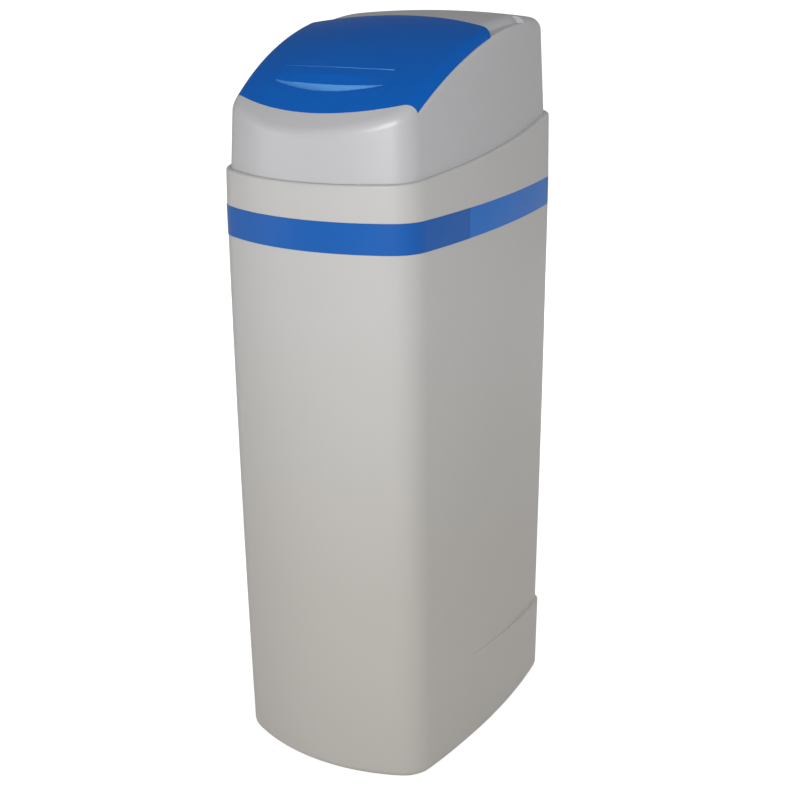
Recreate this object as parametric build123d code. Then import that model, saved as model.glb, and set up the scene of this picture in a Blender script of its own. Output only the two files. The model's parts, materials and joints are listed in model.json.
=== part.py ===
from build123d import *
import os
from math import acos, asin, cos, pi, radians, degrees, sin, sqrt, tan

# Cabinet water softener: a bowed upright cabinet that holds salt and brine, with a
# ten inch resin vessel at the rear, its control valve under a lift-off hood, and a
# salt lid that slides back on a round track in the hood.
# Millimetres. Origin at the centre of the base, +X to the right of someone who
# faces the front, front at -Y, +Z up.

# Cabinet
cabinet_width = 350.0
cabinet_depth = 483.0
front_bow = 44.0
side_bow = 18.4
front_corner_radius = 53.6
rear_corner_radius = 34.5
cabinet_wall = 4.0
base_lean = 14.5
base_edge_radius = 11.0
lean_shares = (0.0, 0.34, 0.68, 1.0)
stripe_top_z = 853.0
stripe_height = 43.0
stripe_thickness = 1.6
stripe_proud = 0.5
stripe_rear_proud = 0.1
stripe_break_y = -66.0
stripe_break_gap = 0.4
rim_front_z = 901.0
rim_middle_z = 921.0
rim_rear_z = 957.0
rim_inset = 2.0
rim_edge_radius = 3.5
rim_flange_width = 10.0
skirt_front_y = -62.0
skirt_middle_y = 70.0
skirt_middle_proud = 2.2
skirt_rear_proud = 4.2
skirt_front_z = 150.0
skirt_rear_z = 122.0
overrun = 20.0
running_gap = 0.3
shaft_gap = 0.05

# Hood, with its round lid track about an axis across the cabinet
track_axis_y = 128.2
track_axis_z = 580.3
lid_radius = 528.3
crown = 11.0
ledge_radius = 508.4
core_half_width = 141.0
core_edge_radius = 18.0
hood_inset = 6.5
hood_draft = 11.2
hood_draft_height = 220.0
hood_wall = 3.0
hood_edge_radius = 20.0
hood_skirt_gap = 0.5
hood_skirt_drop = 14.0
lid_thickness = 3.0
lid_step = 3.6
lid_gap = 0.5
lid_ledge_gap = 0.3
lid_front_y = -205.2
lid_front_curve = 321.0
lid_rear_y = 48.0
lid_rear_curve = 462.0
lid_rear_corner_radius = 12.0
lid_half_width = 160.0
lid_travel = 12.5
window_half_width = 118.0
window_rear_y = -25.0
window_front_y = -182.0
window_corner_radius = 20.0
grip_half_length = 85.0
grip_width = 50.0
grip_depth = 5.0
grip_y = -160.0
pipe_opening_half_width = 98.0
pipe_opening_bottom_z = 922.0
pipe_opening_top_z = 1006.0

# Pressure vessel
vessel_radius = 128.5
vessel_wall = 4.0
vessel_y = 86.0
vessel_bottom_z = 14.0
vessel_bottom_rise = 72.0
vessel_shoulder_z = 815.0
vessel_top_rise = 75.0
neck_radius = 50.0
neck_bore_radius = 39.0
neck_top_z = 905.0
foot_radius = 121.0
foot_wall = 5.0
foot_height = 62.0
resin_top_z = 590.0
riser_radius = 13.4
riser_wall = 2.0
riser_bottom_z = 52.0
strainer_radius = 27.0
strainer_height = 62.0
strainer_slots = 10
strainer_slot_height = 3.0
top_strainer_radius = 34.0
top_strainer_height = 36.0


def plan_outline(inset, lean=0.0):
    """Plan of the cabinet at one height: bowed front and sides, flat rear."""
    half = cabinet_width / 2 - inset
    front = -cabinet_depth / 2 + inset + lean
    rear = cabinet_depth / 2 - inset - lean
    corner_x = half - side_bow
    corner_y = front + front_bow
    bow_y = (corner_y + rear) / 2
    nose = ThreePointArc((-corner_x, corner_y), (0, front), (corner_x, corner_y))
    right = ThreePointArc((corner_x, corner_y), (half, bow_y), (corner_x, rear))
    back = Line((corner_x, rear), (-corner_x, rear))
    left = ThreePointArc((-corner_x, rear), (-half, bow_y), (-corner_x, corner_y))
    face = Face(Wire([nose, right, back, left]))
    fronts = [v for v in face.vertices() if v.Y < 0]
    face = face.fillet_2d(front_corner_radius - inset, fronts)
    rears = face.vertices().group_by(Axis.Y)[-1]
    return face.fillet_2d(rear_corner_radius - inset, rears)


def lean_at(z):
    """How far front and rear draw in at a height, most at the base."""
    share = max(0.0, (stripe_top_z - z) / stripe_top_z)
    return base_lean * share * share


def cabinet_form(inset, bottom_z):
    """Closed outer form of the cabinet, up past the highest point of its rim."""
    heights = [bottom_z + s * (stripe_top_z - bottom_z) for s in lean_shares]
    lower = loft([Pos(0, 0, z) * plan_outline(inset, lean_at(z)) for z in heights])
    top_z = rim_rear_z + overrun
    collar = loft([Pos(0, 0, stripe_top_z) * plan_outline(inset),
                   Pos(0, 0, top_z) * plan_outline(inset + rim_inset)], ruled=True)
    return lower + collar


def under_rim(rise=0.0, depth=None):
    """Everything below the swept line of the rim, or a slab of it."""
    span = cabinet_depth / 2 + overrun
    reach = cabinet_width / 2 + overrun
    low = -overrun if depth is None else None
    top = ThreePointArc((-span, rim_front_z + rise), (0, rim_middle_z + rise),
                        (span, rim_rear_z + rise))
    if depth is None:
        bottom = Line((span, low), (-span, low))
    else:
        bottom = ThreePointArc((span, rim_rear_z + rise - depth),
                               (0, rim_middle_z + rise - depth),
                               (-span, rim_front_z + rise - depth))
    sides = [Line(top @ 1, bottom @ 0), Line(bottom @ 1, top @ 0)]
    face = Plane.YZ * Face(Wire([top, sides[0], bottom, sides[1]]))
    return extrude(face, amount=reach, both=True)


def rear_skirt():
    """Shallow swell round the lower rear of the cabinet, fading out forwards."""
    def section(z):
        lean = lean_at(z)
        half = cabinet_width / 2
        rear = cabinet_depth / 2 - lean
        bow_y = (-cabinet_depth / 2 + lean + front_bow + rear) / 2
        reach = rear - bow_y

        def side_x(y):
            return half - side_bow * ((y - bow_y) / reach) ** 2

        start = (side_x(skirt_front_y), skirt_front_y)
        middle = (side_x(skirt_middle_y) + skirt_middle_proud, skirt_middle_y)
        end = (side_x(rear) + skirt_rear_proud, rear + skirt_rear_proud)
        right = ThreePointArc(start, middle, end)
        left = ThreePointArc((-end[0], end[1]), (-middle[0], middle[1]), (-start[0], start[1]))
        wire = Wire([right, Line(right @ 1, left @ 0), left, Line(left @ 1, right @ 0)])
        face = Face(wire)
        rears = face.vertices().group_by(Axis.Y)[-1]
        return face.fillet_2d(rear_corner_radius + skirt_rear_proud, rears)

    heights = [0.0, skirt_front_z / 2, skirt_front_z]
    swell = loft([Pos(0, 0, z) * section(z) for z in heights])
    span = cabinet_depth / 2 + overrun
    outline = Polyline((skirt_front_y, 0), (span, 0), (span, skirt_rear_z),
                       (skirt_front_y, skirt_front_z), close=True)
    profile = Plane.YZ * Face(Wire(outline.edges()))
    return swell & extrude(profile, amount=cabinet_width, both=True)


def make_cabinet():
    outer = cabinet_form(0.0, 0.0) + rear_skirt()
    outer = fillet(outer.edges().group_by(Axis.Z)[0], base_edge_radius)
    outer = outer & under_rim()
    rim = outer.edges().filter_by(lambda e: (e @ 0.5).Z > rim_front_z - rim_inset)
    outer = fillet(rim, rim_edge_radius)
    groove = stripe_band(0.0, stripe_thickness + overrun, 0.0)
    cavity = cabinet_form(cabinet_wall, cabinet_wall) & under_rim(-cabinet_wall)
    mouth = Pos(0, 0, stripe_top_z) * extrude(
        plan_outline(cabinet_wall + rim_flange_width), amount=rim_rear_z)
    pipe_gap = pipe_opening(cabinet_depth / 4)
    return outer - groove - cavity - mouth - pipe_gap - overflow_hole()


def pipe_opening(depth):
    """Room for the pipe tails through the rear wall, open at the top."""
    height = pipe_opening_top_z - pipe_opening_bottom_z
    cut = Box(2 * pipe_opening_half_width, depth, height)
    return Pos(0, cabinet_depth / 2, pipe_opening_bottom_z + height / 2) * cut


def stripe_band(proud, thickness, end_gap):
    """Ring between two heights, from the groove's floor outwards."""
    outline = plan_outline(-proud)
    low_z = stripe_top_z - stripe_height + end_gap
    ring = extrude(outline, amount=stripe_height - 2 * end_gap)
    ring = Pos(0, 0, low_z) * ring
    core = Pos(0, 0, low_z) * extrude(plan_outline(stripe_thickness), amount=stripe_height)
    if thickness > stripe_thickness:
        wide = Box(2 * cabinet_width, 2 * cabinet_depth, stripe_height)
        ring = Pos(0, 0, low_z + stripe_height / 2) * wide
    return ring - core


def make_stripes():
    """Front stripe laps over the cheeks; the rear one closes the ring."""
    half_gap = stripe_break_gap / 2
    size = 2 * cabinet_depth
    ahead = Pos(0, stripe_break_y - half_gap - size / 2, stripe_top_z) * Box(size, size, size)
    behind = Pos(0, stripe_break_y + half_gap + size / 2, stripe_top_z) * Box(size, size, size)
    front = stripe_band(stripe_proud, 0.0, stripe_break_gap / 2) & ahead
    rear = stripe_band(stripe_rear_proud, 0.0, stripe_break_gap / 2) & behind
    return front, rear


# Overflow fitting of the brine tank, at the right of the rear wall
overflow_x = 108.0
overflow_z = 745.0
overflow_bore_radius = 7.0
overflow_pipe_radius = 10.0
overflow_flange_radius = 17.0
overflow_flange_thickness = 3.0
overflow_reach = 22.0
overflow_drop = 34.0
overflow_inside = 16.0
overflow_nut_thickness = 8.0


def overflow_wall_y():
    return cabinet_depth / 2 - lean_at(overflow_z)


def overflow_hole():
    hole = Cylinder(overflow_pipe_radius + running_gap, 4 * overflow_flange_radius)
    return Pos(overflow_x, overflow_wall_y(), overflow_z) * Rot(90, 0, 0) * hole


def make_overflow():
    """Elbow with a flange outside the wall and a nut that clamps it inside."""
    wall_y = overflow_wall_y() + running_gap
    length = overflow_reach + cabinet_wall + overflow_inside
    pipe = Cylinder(overflow_pipe_radius, length)
    pipe = Pos(0, wall_y + overflow_reach - length / 2, 0) * Rot(90, 0, 0) * pipe
    drop = Cylinder(overflow_pipe_radius, overflow_drop)
    drop = Pos(0, wall_y + overflow_reach, -overflow_drop / 2) * drop
    knee = Pos(0, wall_y + overflow_reach, 0) * Sphere(overflow_pipe_radius)
    flange = Cylinder(overflow_flange_radius, overflow_flange_thickness)
    flange = Pos(0, wall_y + overflow_flange_thickness / 2, 0) * Rot(90, 0, 0) * flange
    bore_in = Cylinder(overflow_bore_radius, length + overrun)
    bore_in = Pos(0, wall_y + overflow_reach - (length + overrun) / 2, 0) * Rot(90, 0, 0) * bore_in
    bore_out = Cylinder(overflow_bore_radius, overflow_drop + overrun)
    bore_out = Pos(0, wall_y + overflow_reach, -(overflow_drop + overrun) / 2) * bore_out
    knee_bore = Pos(0, wall_y + overflow_reach, 0) * Sphere(overflow_bore_radius)
    elbow = pipe + drop + knee + flange - bore_in - bore_out - knee_bore
    inner_y = overflow_wall_y() - cabinet_wall - running_gap
    nut = extrude(RegularPolygon(overflow_flange_radius, 6), amount=overflow_nut_thickness)
    nut = nut - Cylinder(overflow_pipe_radius + shaft_gap, 3 * overflow_nut_thickness)
    nut = Pos(0, inner_y, 0) * Rot(90, 0, 0) * nut
    place = Pos(overflow_x, 0, overflow_z)
    return place * elbow, place * nut


def hood_block(inset):
    """Drafted sides of the hood before its top is cut."""
    low_z = rim_front_z - overrun
    slope = hood_draft / hood_draft_height
    foot = inset + hood_inset - slope * overrun
    head = inset + hood_inset + slope * (hood_draft_height + overrun)
    high_z = rim_front_z + hood_draft_height + overrun
    return loft([Pos(0, 0, low_z) * plan_outline(foot),
                 Pos(0, 0, high_z) * plan_outline(head)], ruled=True)


def at_track_axis(shape):
    return Pos(0, track_axis_y, track_axis_z) * shape


def barrel(radius):
    """Crowned drum about the track axis, highest on the centre line."""
    half = cabinet_width / 2
    edge = radius - crown
    arc = ThreePointArc((-half, edge), (0, radius), (half, edge))
    wire = Wire([arc, Line((half, edge), (half, 0)), Line((half, 0), (-half, 0)),
                 Line((-half, 0), (-half, edge))])
    return at_track_axis(revolve(Plane.XZ * Face(wire), axis=Axis.X, revolution_arc=360))


def drum(radius):
    return at_track_axis(Rot(0, 90, 0) * Cylinder(radius, cabinet_width + overrun))


def hood_envelope(inset, radius, edge_radius):
    """Hood form with its round shoulders: block cut by the barrel."""
    form = hood_block(inset) & barrel(radius)
    low_z = rim_rear_z + overrun / 2
    loop = form.edges().filter_by(lambda e: (e @ 0.5).Z > low_z)
    sides = [e for e in loop if abs((e @ 0).Z - (e @ 1).Z) < hood_draft_height * 2 / 3
             or e.length > hood_draft_height]
    return fillet(sides, edge_radius)


def track_core(inset):
    """Straight round track that carries the lid, with rounded shoulders."""
    half = core_half_width - inset
    radius = lid_radius - lid_step - inset
    bend = (cabinet_width ** 2 / 4 + crown ** 2) / (2 * crown)
    edge = radius - bend + sqrt(bend ** 2 - half ** 2)
    arc = ThreePointArc((-half, edge), (0, radius), (half, edge))
    wire = Wire([arc, Line((half, edge), (half, 0)), Line((half, 0), (-half, 0)),
                 Line((-half, 0), (-half, edge))])
    face = Face(wire)
    shoulders = face.vertices().group_by(Axis.Y)[-1]
    face = face.fillet_2d(core_edge_radius - inset, shoulders)
    return at_track_axis(revolve(Plane.XZ * face, axis=Axis.X, revolution_arc=360))


def behind_lid_front(gap):
    """Upright drum whose front is the curved front edge of the lid."""
    radius = lid_front_curve - gap
    place = Pos(0, lid_front_y + lid_front_curve, track_axis_z + lid_radius / 2)
    return place * Cylinder(radius, lid_radius)


def ahead_of(angle):
    """Everything ahead of a plane through the track axis, leaning forward."""
    size = 2 * lid_radius
    wedge = Pos(0, -size / 2, size / 2) * Box(size, size, size)
    return at_track_axis(Rot(angle, 0, 0) * wedge)


def lean_of(y, radius):
    """How far a place on the round track leans forward of upright, in degrees."""
    return degrees(asin((track_axis_y - y) / radius))


def lid_plan():
    """Upright block over the lid: curved behind, with rounded rear corners."""
    half = lid_half_width
    side_y = lid_rear_y - lid_rear_curve + sqrt(lid_rear_curve ** 2 - half ** 2)
    arc = ThreePointArc((-half, side_y), (0, lid_rear_y), (half, side_y))
    front_y = -cabinet_depth / 2 - overrun
    wire = Wire([arc, Line((half, side_y), (half, front_y)), Line((half, front_y), (-half, front_y)),
                 Line((-half, front_y), (-half, side_y))])
    face = Face(wire)
    corners = face.vertices().group_by(Axis.Y)[1]
    face = face.fillet_2d(lid_rear_corner_radius, corners)
    return Pos(0, 0, track_axis_z) * extrude(face, amount=lid_radius + overrun, dir=(0, 0, 1))


def track_end():
    """Angle at which the room for the lid's flanks ends, behind the open lid."""
    half = core_half_width
    side_y = lid_rear_y - lid_rear_curve + sqrt(lid_rear_curve ** 2 - half ** 2)
    return lean_of(side_y, lid_radius) - lid_travel - degrees(asin(lid_gap / lid_radius))


def side_room():
    """Room above the ledges for the lid's flanks, as far back as they slide."""
    return ahead_of(track_end()) - drum(ledge_radius) - track_core(0.0)


def grip_scoop(extra):
    """Shallow lens cut for the fingers, along X."""
    radius = (grip_width ** 2 / 4 + grip_depth ** 2) / (2 * grip_depth)
    half = grip_half_length
    edge = radius - grip_depth + extra
    arc = ThreePointArc((-half, edge), (0, radius + extra), (half, edge))
    wire = Wire([arc, Line((half, edge), (half, 0)), Line((half, 0), (-half, 0)),
                 Line((-half, 0), (-half, edge))])
    spindle = revolve(Plane.XZ * Face(wire), axis=Axis.X, revolution_arc=360)
    lift = lid_radius + radius - grip_depth
    lean = lean_of(grip_y, lid_radius)
    return at_track_axis(Rot(lean, 0, 0) * Pos(0, 0, lift) * spindle)


def salt_window():
    """Rounded window through the hood's top, under the lid."""
    width = 2 * window_half_width
    length = window_rear_y - window_front_y
    outline = RectangleRounded(width, length, window_corner_radius)
    low_z = track_axis_z + lid_radius / 2
    place = Pos(0, (window_rear_y + window_front_y) / 2, low_z)
    shaft = place * extrude(outline, amount=lid_radius)
    return shaft - drum(ledge_radius - 4 * hood_wall)


def make_hood():
    """Lift-off hood: drafted shell, lid track, salt window, rim web and skirt."""
    zone = behind_lid_front(0.0)
    core_radius = lid_radius - lid_step
    front = hood_envelope(0.0, lid_radius, hood_edge_radius) - zone
    top = hood_envelope(0.0, core_radius, hood_edge_radius) & zone
    outer = front + (top - side_room())
    inside = hood_envelope(hood_wall, core_radius - hood_wall, hood_edge_radius - hood_wall)
    wall_lean = degrees(asin(hood_wall / lid_radius))
    track_walls = ahead_of(track_end() - wall_lean) - drum(ledge_radius - hood_wall)
    inside = inside - (track_walls - track_core(hood_wall))
    rim_top = running_gap
    shell = (outer - under_rim(rim_top)) - (inside - under_rim(rim_top + hood_wall))
    skirt_inset = cabinet_wall + rim_flange_width + hood_skirt_gap
    skirt_height = rim_rear_z - stripe_top_z + overrun
    skirt_form = Pos(0, 0, stripe_top_z) * extrude(plan_outline(skirt_inset), amount=skirt_height)
    skirt = skirt_form & under_rim(rim_top + hood_wall, hood_skirt_drop + hood_wall + rim_top)
    mouth = Pos(0, 0, stripe_top_z) * extrude(
        plan_outline(skirt_inset + hood_wall), amount=skirt_height)
    mouth = mouth & under_rim(rim_top + 2 * hood_wall)
    return shell + skirt - mouth - salt_window() - pipe_opening(cabinet_depth / 4)


def make_lid():
    """Salt lid: crowned shell with rolled sides and a finger scoop."""
    outer = hood_envelope(0.0, lid_radius, hood_edge_radius)
    bed = outer & behind_lid_front(lid_gap) & lid_plan()
    bed = bed - drum(ledge_radius + lid_ledge_gap)
    inside = hood_envelope(lid_thickness, lid_radius - lid_thickness,
                           hood_edge_radius - lid_thickness)
    thick = (bed & grip_scoop(lid_thickness)) - drum(ledge_radius + lid_ledge_gap)
    return (bed - inside) + thick - grip_scoop(0.0)


def turned(face, x, y):
    """Solid of revolution about an upright axis; the face is drawn as radius, height."""
    return Pos(x, y, 0) * revolve(Plane.XZ * face, axis=Axis.Z, revolution_arc=360)


def upright(x, y, radius, low, high):
    return Pos(x, y, (low + high) / 2) * Cylinder(radius, high - low)


def lengthwise(x, z, radius, near, far):
    """Cylinder along Y between two places."""
    return Pos(x, (near + far) / 2, z) * Rot(90, 0, 0) * Cylinder(radius, far - near)


def crosswise(y, z, radius, left, right):
    """Cylinder along X between two places."""
    return Pos((left + right) / 2, y, z) * Rot(0, 90, 0) * Cylinder(radius, right - left)


def block(x0, x1, y0, y1, z0, z1):
    return Pos((x0 + x1) / 2, (y0 + y1) / 2, (z0 + z1) / 2) * Box(x1 - x0, y1 - y0, z1 - z0)


def vessel_form(inset):
    """Vessel without its neck: straight wall between two elliptical heads."""
    radius = vessel_radius - inset
    low_z = vessel_bottom_z + vessel_bottom_rise
    bottom = EllipticalCenterArc((0, low_z), radius, vessel_bottom_rise - inset, 270, arc_size=90)
    top = EllipticalCenterArc((0, vessel_shoulder_z), radius, vessel_top_rise - inset, 0,
                              arc_size=90)
    side = Line(bottom @ 1, top @ 0)
    spine = Line(top @ 1, bottom @ 0)
    return turned(Face(Wire([bottom, side, top, spine])), 0, vessel_y)


def make_vessel():
    neck = upright(0, vessel_y, neck_radius, vessel_shoulder_z, neck_top_z)
    bore = upright(0, vessel_y, neck_bore_radius, vessel_shoulder_z, neck_top_z + overrun)
    return vessel_form(0.0) + neck - vessel_form(vessel_wall) - bore


def make_foot():
    """Ring that cradles the lower head, with drain notches at the floor."""
    ring = upright(0, vessel_y, foot_radius, cabinet_wall, foot_height)
    ring = ring - upright(0, vessel_y, foot_radius - foot_wall, 0, foot_height + overrun)
    notch = Box(foot_notch_width, 3 * foot_radius, 2 * foot_notch_height)
    for angle in (0, 60, 120):
        ring = ring - Pos(0, vessel_y, cabinet_wall) * Rot(0, 0, angle) * notch
    return ring - vessel_form(-running_gap)


def make_resin():
    bed = vessel_form(vessel_wall + running_gap)
    bed = bed & upright(0, vessel_y, vessel_radius, 0, resin_top_z)
    strainer_top = strainer_bottom_z + strainer_height + running_gap
    bed = bed - upright(0, vessel_y, strainer_radius + running_gap, 0, strainer_top)
    return bed - upright(0, vessel_y, riser_radius + running_gap, 0, resin_top_z + overrun)


def make_riser():
    outer = upright(0, vessel_y, riser_radius, riser_bottom_z, riser_top_z)
    return outer - upright(0, vessel_y, riser_radius - riser_wall, 0, riser_top_z + overrun)


def basket(radius, low, high, slots):
    """Strainer basket: thin can with rows of slots left between four posts."""
    can = upright(0, vessel_y, radius, low, high)
    can = can - upright(0, vessel_y, radius - strainer_wall, low + strainer_wall, high - strainer_wall)
    can = can - upright(0, vessel_y, riser_radius + shaft_gap, low + strainer_wall, high + overrun)
    pitch = (high - low - 2 * strainer_wall) / slots
    reach = 3 * radius
    for i in range(slots):
        z = low + strainer_wall + (i + 0.5) * pitch
        along = Pos(0, vessel_y, z) * Box(radius, reach, strainer_slot_height)
        across = Pos(0, vessel_y, z) * Box(reach, radius, strainer_slot_height)
        can = can - along - across
    return can


def make_bottom_strainer():
    return basket(strainer_radius, strainer_bottom_z, strainer_bottom_z + strainer_height,
                  strainer_slots)


def make_top_strainer():
    """Upper basket, open below round the riser and hung from the valve's plug."""
    low = plug_bottom_z - top_strainer_height
    can = basket(top_strainer_radius, low, plug_bottom_z, top_strainer_slots)
    return can - upright(0, vessel_y, riser_radius + shaft_gap, low - overrun, plug_bottom_z + overrun)


# Control valve, on the vessel's neck
plug_radius = 37.0
plug_bottom_z = 893.0
riser_top_z = 912.0
collar_radius = 52.0
collar_top_z = 923.0
valve_half_width = 52.0
valve_front_y = 44.0
valve_rear_y = 136.0
valve_top_z = 985.0
valve_corner_radius = 12.0
piston_axis_z = 965.0
barrel_radius = 33.0
barrel_rear_y = 150.0
bore_radius = 27.0
bore_rear_y = 140.0
flange_half_width = 58.0
flange_thickness = 8.0
flange_bottom_z = 930.0
flange_top_z = 990.0
port_x = 44.0
port_z = 955.0
port_radius = 20.0
port_bore_radius = 12.5
port_front_y = 100.0
port_rear_y = 165.0
port_bore_front_y = 125.0
side_port_z = 946.0
side_boss_reach = 8.0
drain_y = 64.0
drain_boss_radius = 10.0
brine_port_y = 84.0
injector_y = 58.0
injector_boss_radius = 11.0
side_bore_radius = 4.0

# Piston, its spacers and the cap that closes the bore
spacer_front_y = 52.0
spacer_rear_y = 134.0
spacer_groove_depth = 4.0
spacer_groove_width = 7.0
spacer_groove_count = 5
piston_radius = 18.0
piston_front_y = 54.0
piston_length = 50.0
piston_groove_depth = 6.0
piston_groove_width = 9.0
piston_groove_count = 2
rod_radius = 8.0
rod_front_y = -16.0
cap_rear_y = 51.7

# Gear drive on its bracket
gear_module = 1.5
pressure_angle = 25.0
addendum_share = 0.8
dedendum_share = 1.0
tooth_slack = 0.12
main_teeth = 40
wheel_teeth = 30
pinion_teeth = 12
bracket_front_y = 33.0
bracket_thickness = 3.0
bracket_half_width = 90.0
bracket_bottom_z = 924.0
bracket_top_z = 1042.0
bracket_corner_radius = 6.0
boss_radius = 12.0
boss_front_y = 20.0
rod_clearance = 0.4
main_front_y = 22.0
main_rear_y = 30.0
main_hub_radius = 13.0
main_hub_front_y = 14.0
main_nut_rear_y = 19.0
main_hole_count = 6
main_hole_radius = 4.5
main_hole_circle = 20.5
reduction_angle = 150.0
wheel_front_y = 12.0
wheel_rear_y = 20.0
reduction_pinion_rear_y = 31.0
axle_radius = 3.0
axle_front_y = 10.0
motor_angle = 120.0
motor_pinion_front_y = 11.5
motor_pinion_rear_y = 21.0
motor_shaft_radius = 2.0
motor_shaft_rear_y = 50.0
motor_radius = 15.0
motor_front_y = 36.3
motor_rear_y = 78.0
motor_boss_radius = 6.0
screw_radius = 2.0
screw_head_radius = 4.0
screw_head_height = 2.4
screw_gap = 0.1
screw_length = 12.0
screw_x = 50.0
screw_low_z = 937.0
screw_high_z = 983.0

# Front cover of the valve, its board, display and buttons
cover_half_width = 95.0
cover_wall = 2.5
cover_bottom_z = 912.0
cover_top_z = 1050.0
cover_foot_y = -58.0
cover_head_y = -16.0
cover_corner_radius = 10.0
post_x = 86.0
post_radius = 4.0
post_low_z = 930.0
post_high_z = 1034.0
face_origin_share = 0.5
board_width = 150.0
board_height = 84.0
board_thickness = 1.6
board_depth = 12.0
standoff_radius = 3.0
standoff_x = 69.0
standoff_height = 36.0
display_width = 66.0
display_height = 38.0
display_rise = 20.0
display_thickness = 2.2
display_inset = 0.3
screen_margin = 3.0
screen_thickness = 5.0
button_width = 18.0
button_height = 9.0
button_corner_radius = 3.0
button_pitch = 26.0
button_fall = 25.0
button_proud = 1.2
button_travel = 0.8
button_gap = 0.3
button_lip = 1.5
button_lip_thickness = 1.2
button_stem_radius = 2.2
switch_size = 6.0
switch_height = 3.4
switch_gap = 0.1
button_names = ("menu_button", "down_button", "regenerate_button", "up_button", "set_button")
chip_width = 24.0
chip_height = 14.0
chip_thickness = 6.0
inlet_y = 6.0
inlet_z = 1000.0
inlet_radius = 6.0
inlet_flange_radius = 9.0
inlet_flange_thickness = 2.0
inlet_depth = 14.0
inlet_bore_radius = 1.8
inlet_bore_depth = 10.0

# Bypass behind the valve, with its two quarter-turn rotors
bypass_front_y = 165.3
bypass_rear_y = 230.0
tail_radius = 16.6
tail_length = 32.0
rotor_y = 200.0
rotor_housing_radius = 24.0
rotor_housing_bottom_z = 926.0
rotor_housing_top_z = 990.0
rotor_radius = 17.0
rotor_bottom_z = 933.0
rotor_cap_radius = 22.0
rotor_cap_thickness = 6.0
handle_length = 52.0
handle_width = 13.0
handle_height = 12.0
handle_corner_radius = 5.0
cross_radius = 16.0
nut_across = 27.0
nut_front_y = 152.0
nut_rear_y = 174.0

# Meter turbine in the outlet port
cage_radius = 12.4
cage_wall = 0.9
cage_front_y = 131.0
cage_rear_y = 161.0
cage_ring_length = 3.0
cage_rib_width = 3.0
cage_hub_radius = 3.5
turbine_front_y = 139.0
turbine_rear_y = 153.0
turbine_hub_radius = 3.5
turbine_radius = 10.8
turbine_blade_thickness = 1.2
turbine_blade_count = 6
turbine_blade_pitch = 35.0
turbine_axle_radius = 1.5

# Fittings at the sides of the valve
elbow_radius = 8.0
drain_reach = 22.0
drain_drop = 32.0
barb_radius = 5.5
barb_bore_radius = 3.5
injector_cap_across = 13.0
injector_cap_thickness = 9.0
line_radius = 4.75
line_bore_radius = 3.0
line_x = -104.0
line_start_y = 64.0
line_turn_y = -30.0
line_low_z = 700.0
line_end_y = -98.0
line_bend_radius = 32.0

# Brine well with its safety float
well_x = -104.0
well_y = -130.0
well_radius = 48.0
well_wall = 2.5
well_top_z = 756.0
well_slot_width = 5.0
well_slot_bottom_z = 12.0
well_slot_height = 60.0
well_port_radius = 6.5
well_cap_thickness = 4.0
well_cap_overlap = 2.5
well_cap_plug = 10.0
well_knob_radius = 11.0
well_knob_height = 14.0
stem_radius = 7.0
stem_bore_radius = 4.0
air_check_radius = 20.0
air_check_wall = 3.0
air_check_height = 82.0
air_check_window_width = 10.0
air_check_window_bottom_z = 34.0
air_check_window_top_z = 66.0
ball_radius = 9.0
ball_seat_rise = 5.0
ball_seat_radius = 5.0
float_radius = 30.0
float_height = 56.0
float_gap = 0.4
float_corner_radius = 6.0
float_rest_z = 150.0
float_travel = 240.0
stop_radius = 12.0
stop_thickness = 4.0

foot_notch_width = 26.0
foot_notch_height = 12.0
strainer_bottom_z = 20.4
strainer_wall = 3.0
top_strainer_slots = 5


def make_valve_body():
    collar = upright(0, vessel_y, plug_radius, plug_bottom_z, neck_top_z + overrun)
    collar = collar + upright(0, vessel_y, collar_radius, neck_top_z, collar_top_z)
    body = block(-valve_half_width, valve_half_width, valve_front_y, valve_rear_y,
                 collar_top_z, valve_top_z)
    body = fillet(body.edges().filter_by(Axis.Z), valve_corner_radius)
    flange_y = valve_front_y - flange_thickness
    flange = block(-flange_half_width, flange_half_width, flange_y, valve_front_y,
                   flange_bottom_z, flange_top_z)
    flange = fillet(flange.edges().filter_by(Axis.Y), bracket_corner_radius)
    body = body + collar + flange
    body = body + lengthwise(0, piston_axis_z, barrel_radius, valve_front_y, barrel_rear_y)
    for x in (-port_x, port_x):
        body = body + lengthwise(x, port_z, port_radius, port_front_y, port_rear_y)
    reach = valve_half_width + side_boss_reach
    body = body + crosswise(drain_y, side_port_z, drain_boss_radius, 0, reach)
    body = body + crosswise(brine_port_y, side_port_z, drain_boss_radius, -reach, 0)
    body = body + crosswise(injector_y, side_port_z, injector_boss_radius, -reach, 0)
    body = body - lengthwise(0, piston_axis_z, bore_radius, flange_y - overrun, bore_rear_y)
    for x in (-port_x, port_x):
        body = body - lengthwise(x, port_z, port_bore_radius, port_bore_front_y,
                                 port_rear_y + overrun)
    body = body - upright(0, vessel_y, riser_radius + shaft_gap, plug_bottom_z - overrun, riser_top_z)
    for x in (-screw_x, screw_x):
        for z in (screw_low_z, screw_high_z):
            body = body - lengthwise(x, z, screw_radius + screw_gap, flange_y - overrun, valve_front_y)
    return body


def grooved_rod(radius, near, far, depth, width, count):
    """Rod along Y on the piston's axis with evenly spaced grooves."""
    rod = lengthwise(0, piston_axis_z, radius, near, far)
    pitch = (far - near) / (count + 1)
    for i in range(count):
        y = near + (i + 1) * pitch
        ring = lengthwise(0, piston_axis_z, radius + depth, y - width / 2, y + width / 2)
        ring = ring - lengthwise(0, piston_axis_z, radius - depth, y - width, y + width)
        rod = rod - ring
    return rod


def make_spacers():
    stack = grooved_rod(bore_radius - shaft_gap, spacer_front_y, spacer_rear_y,
                        spacer_groove_depth, spacer_groove_width, spacer_groove_count)
    return stack - lengthwise(0, piston_axis_z, piston_radius + shaft_gap,
                              spacer_front_y - overrun, spacer_rear_y + overrun)


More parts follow.
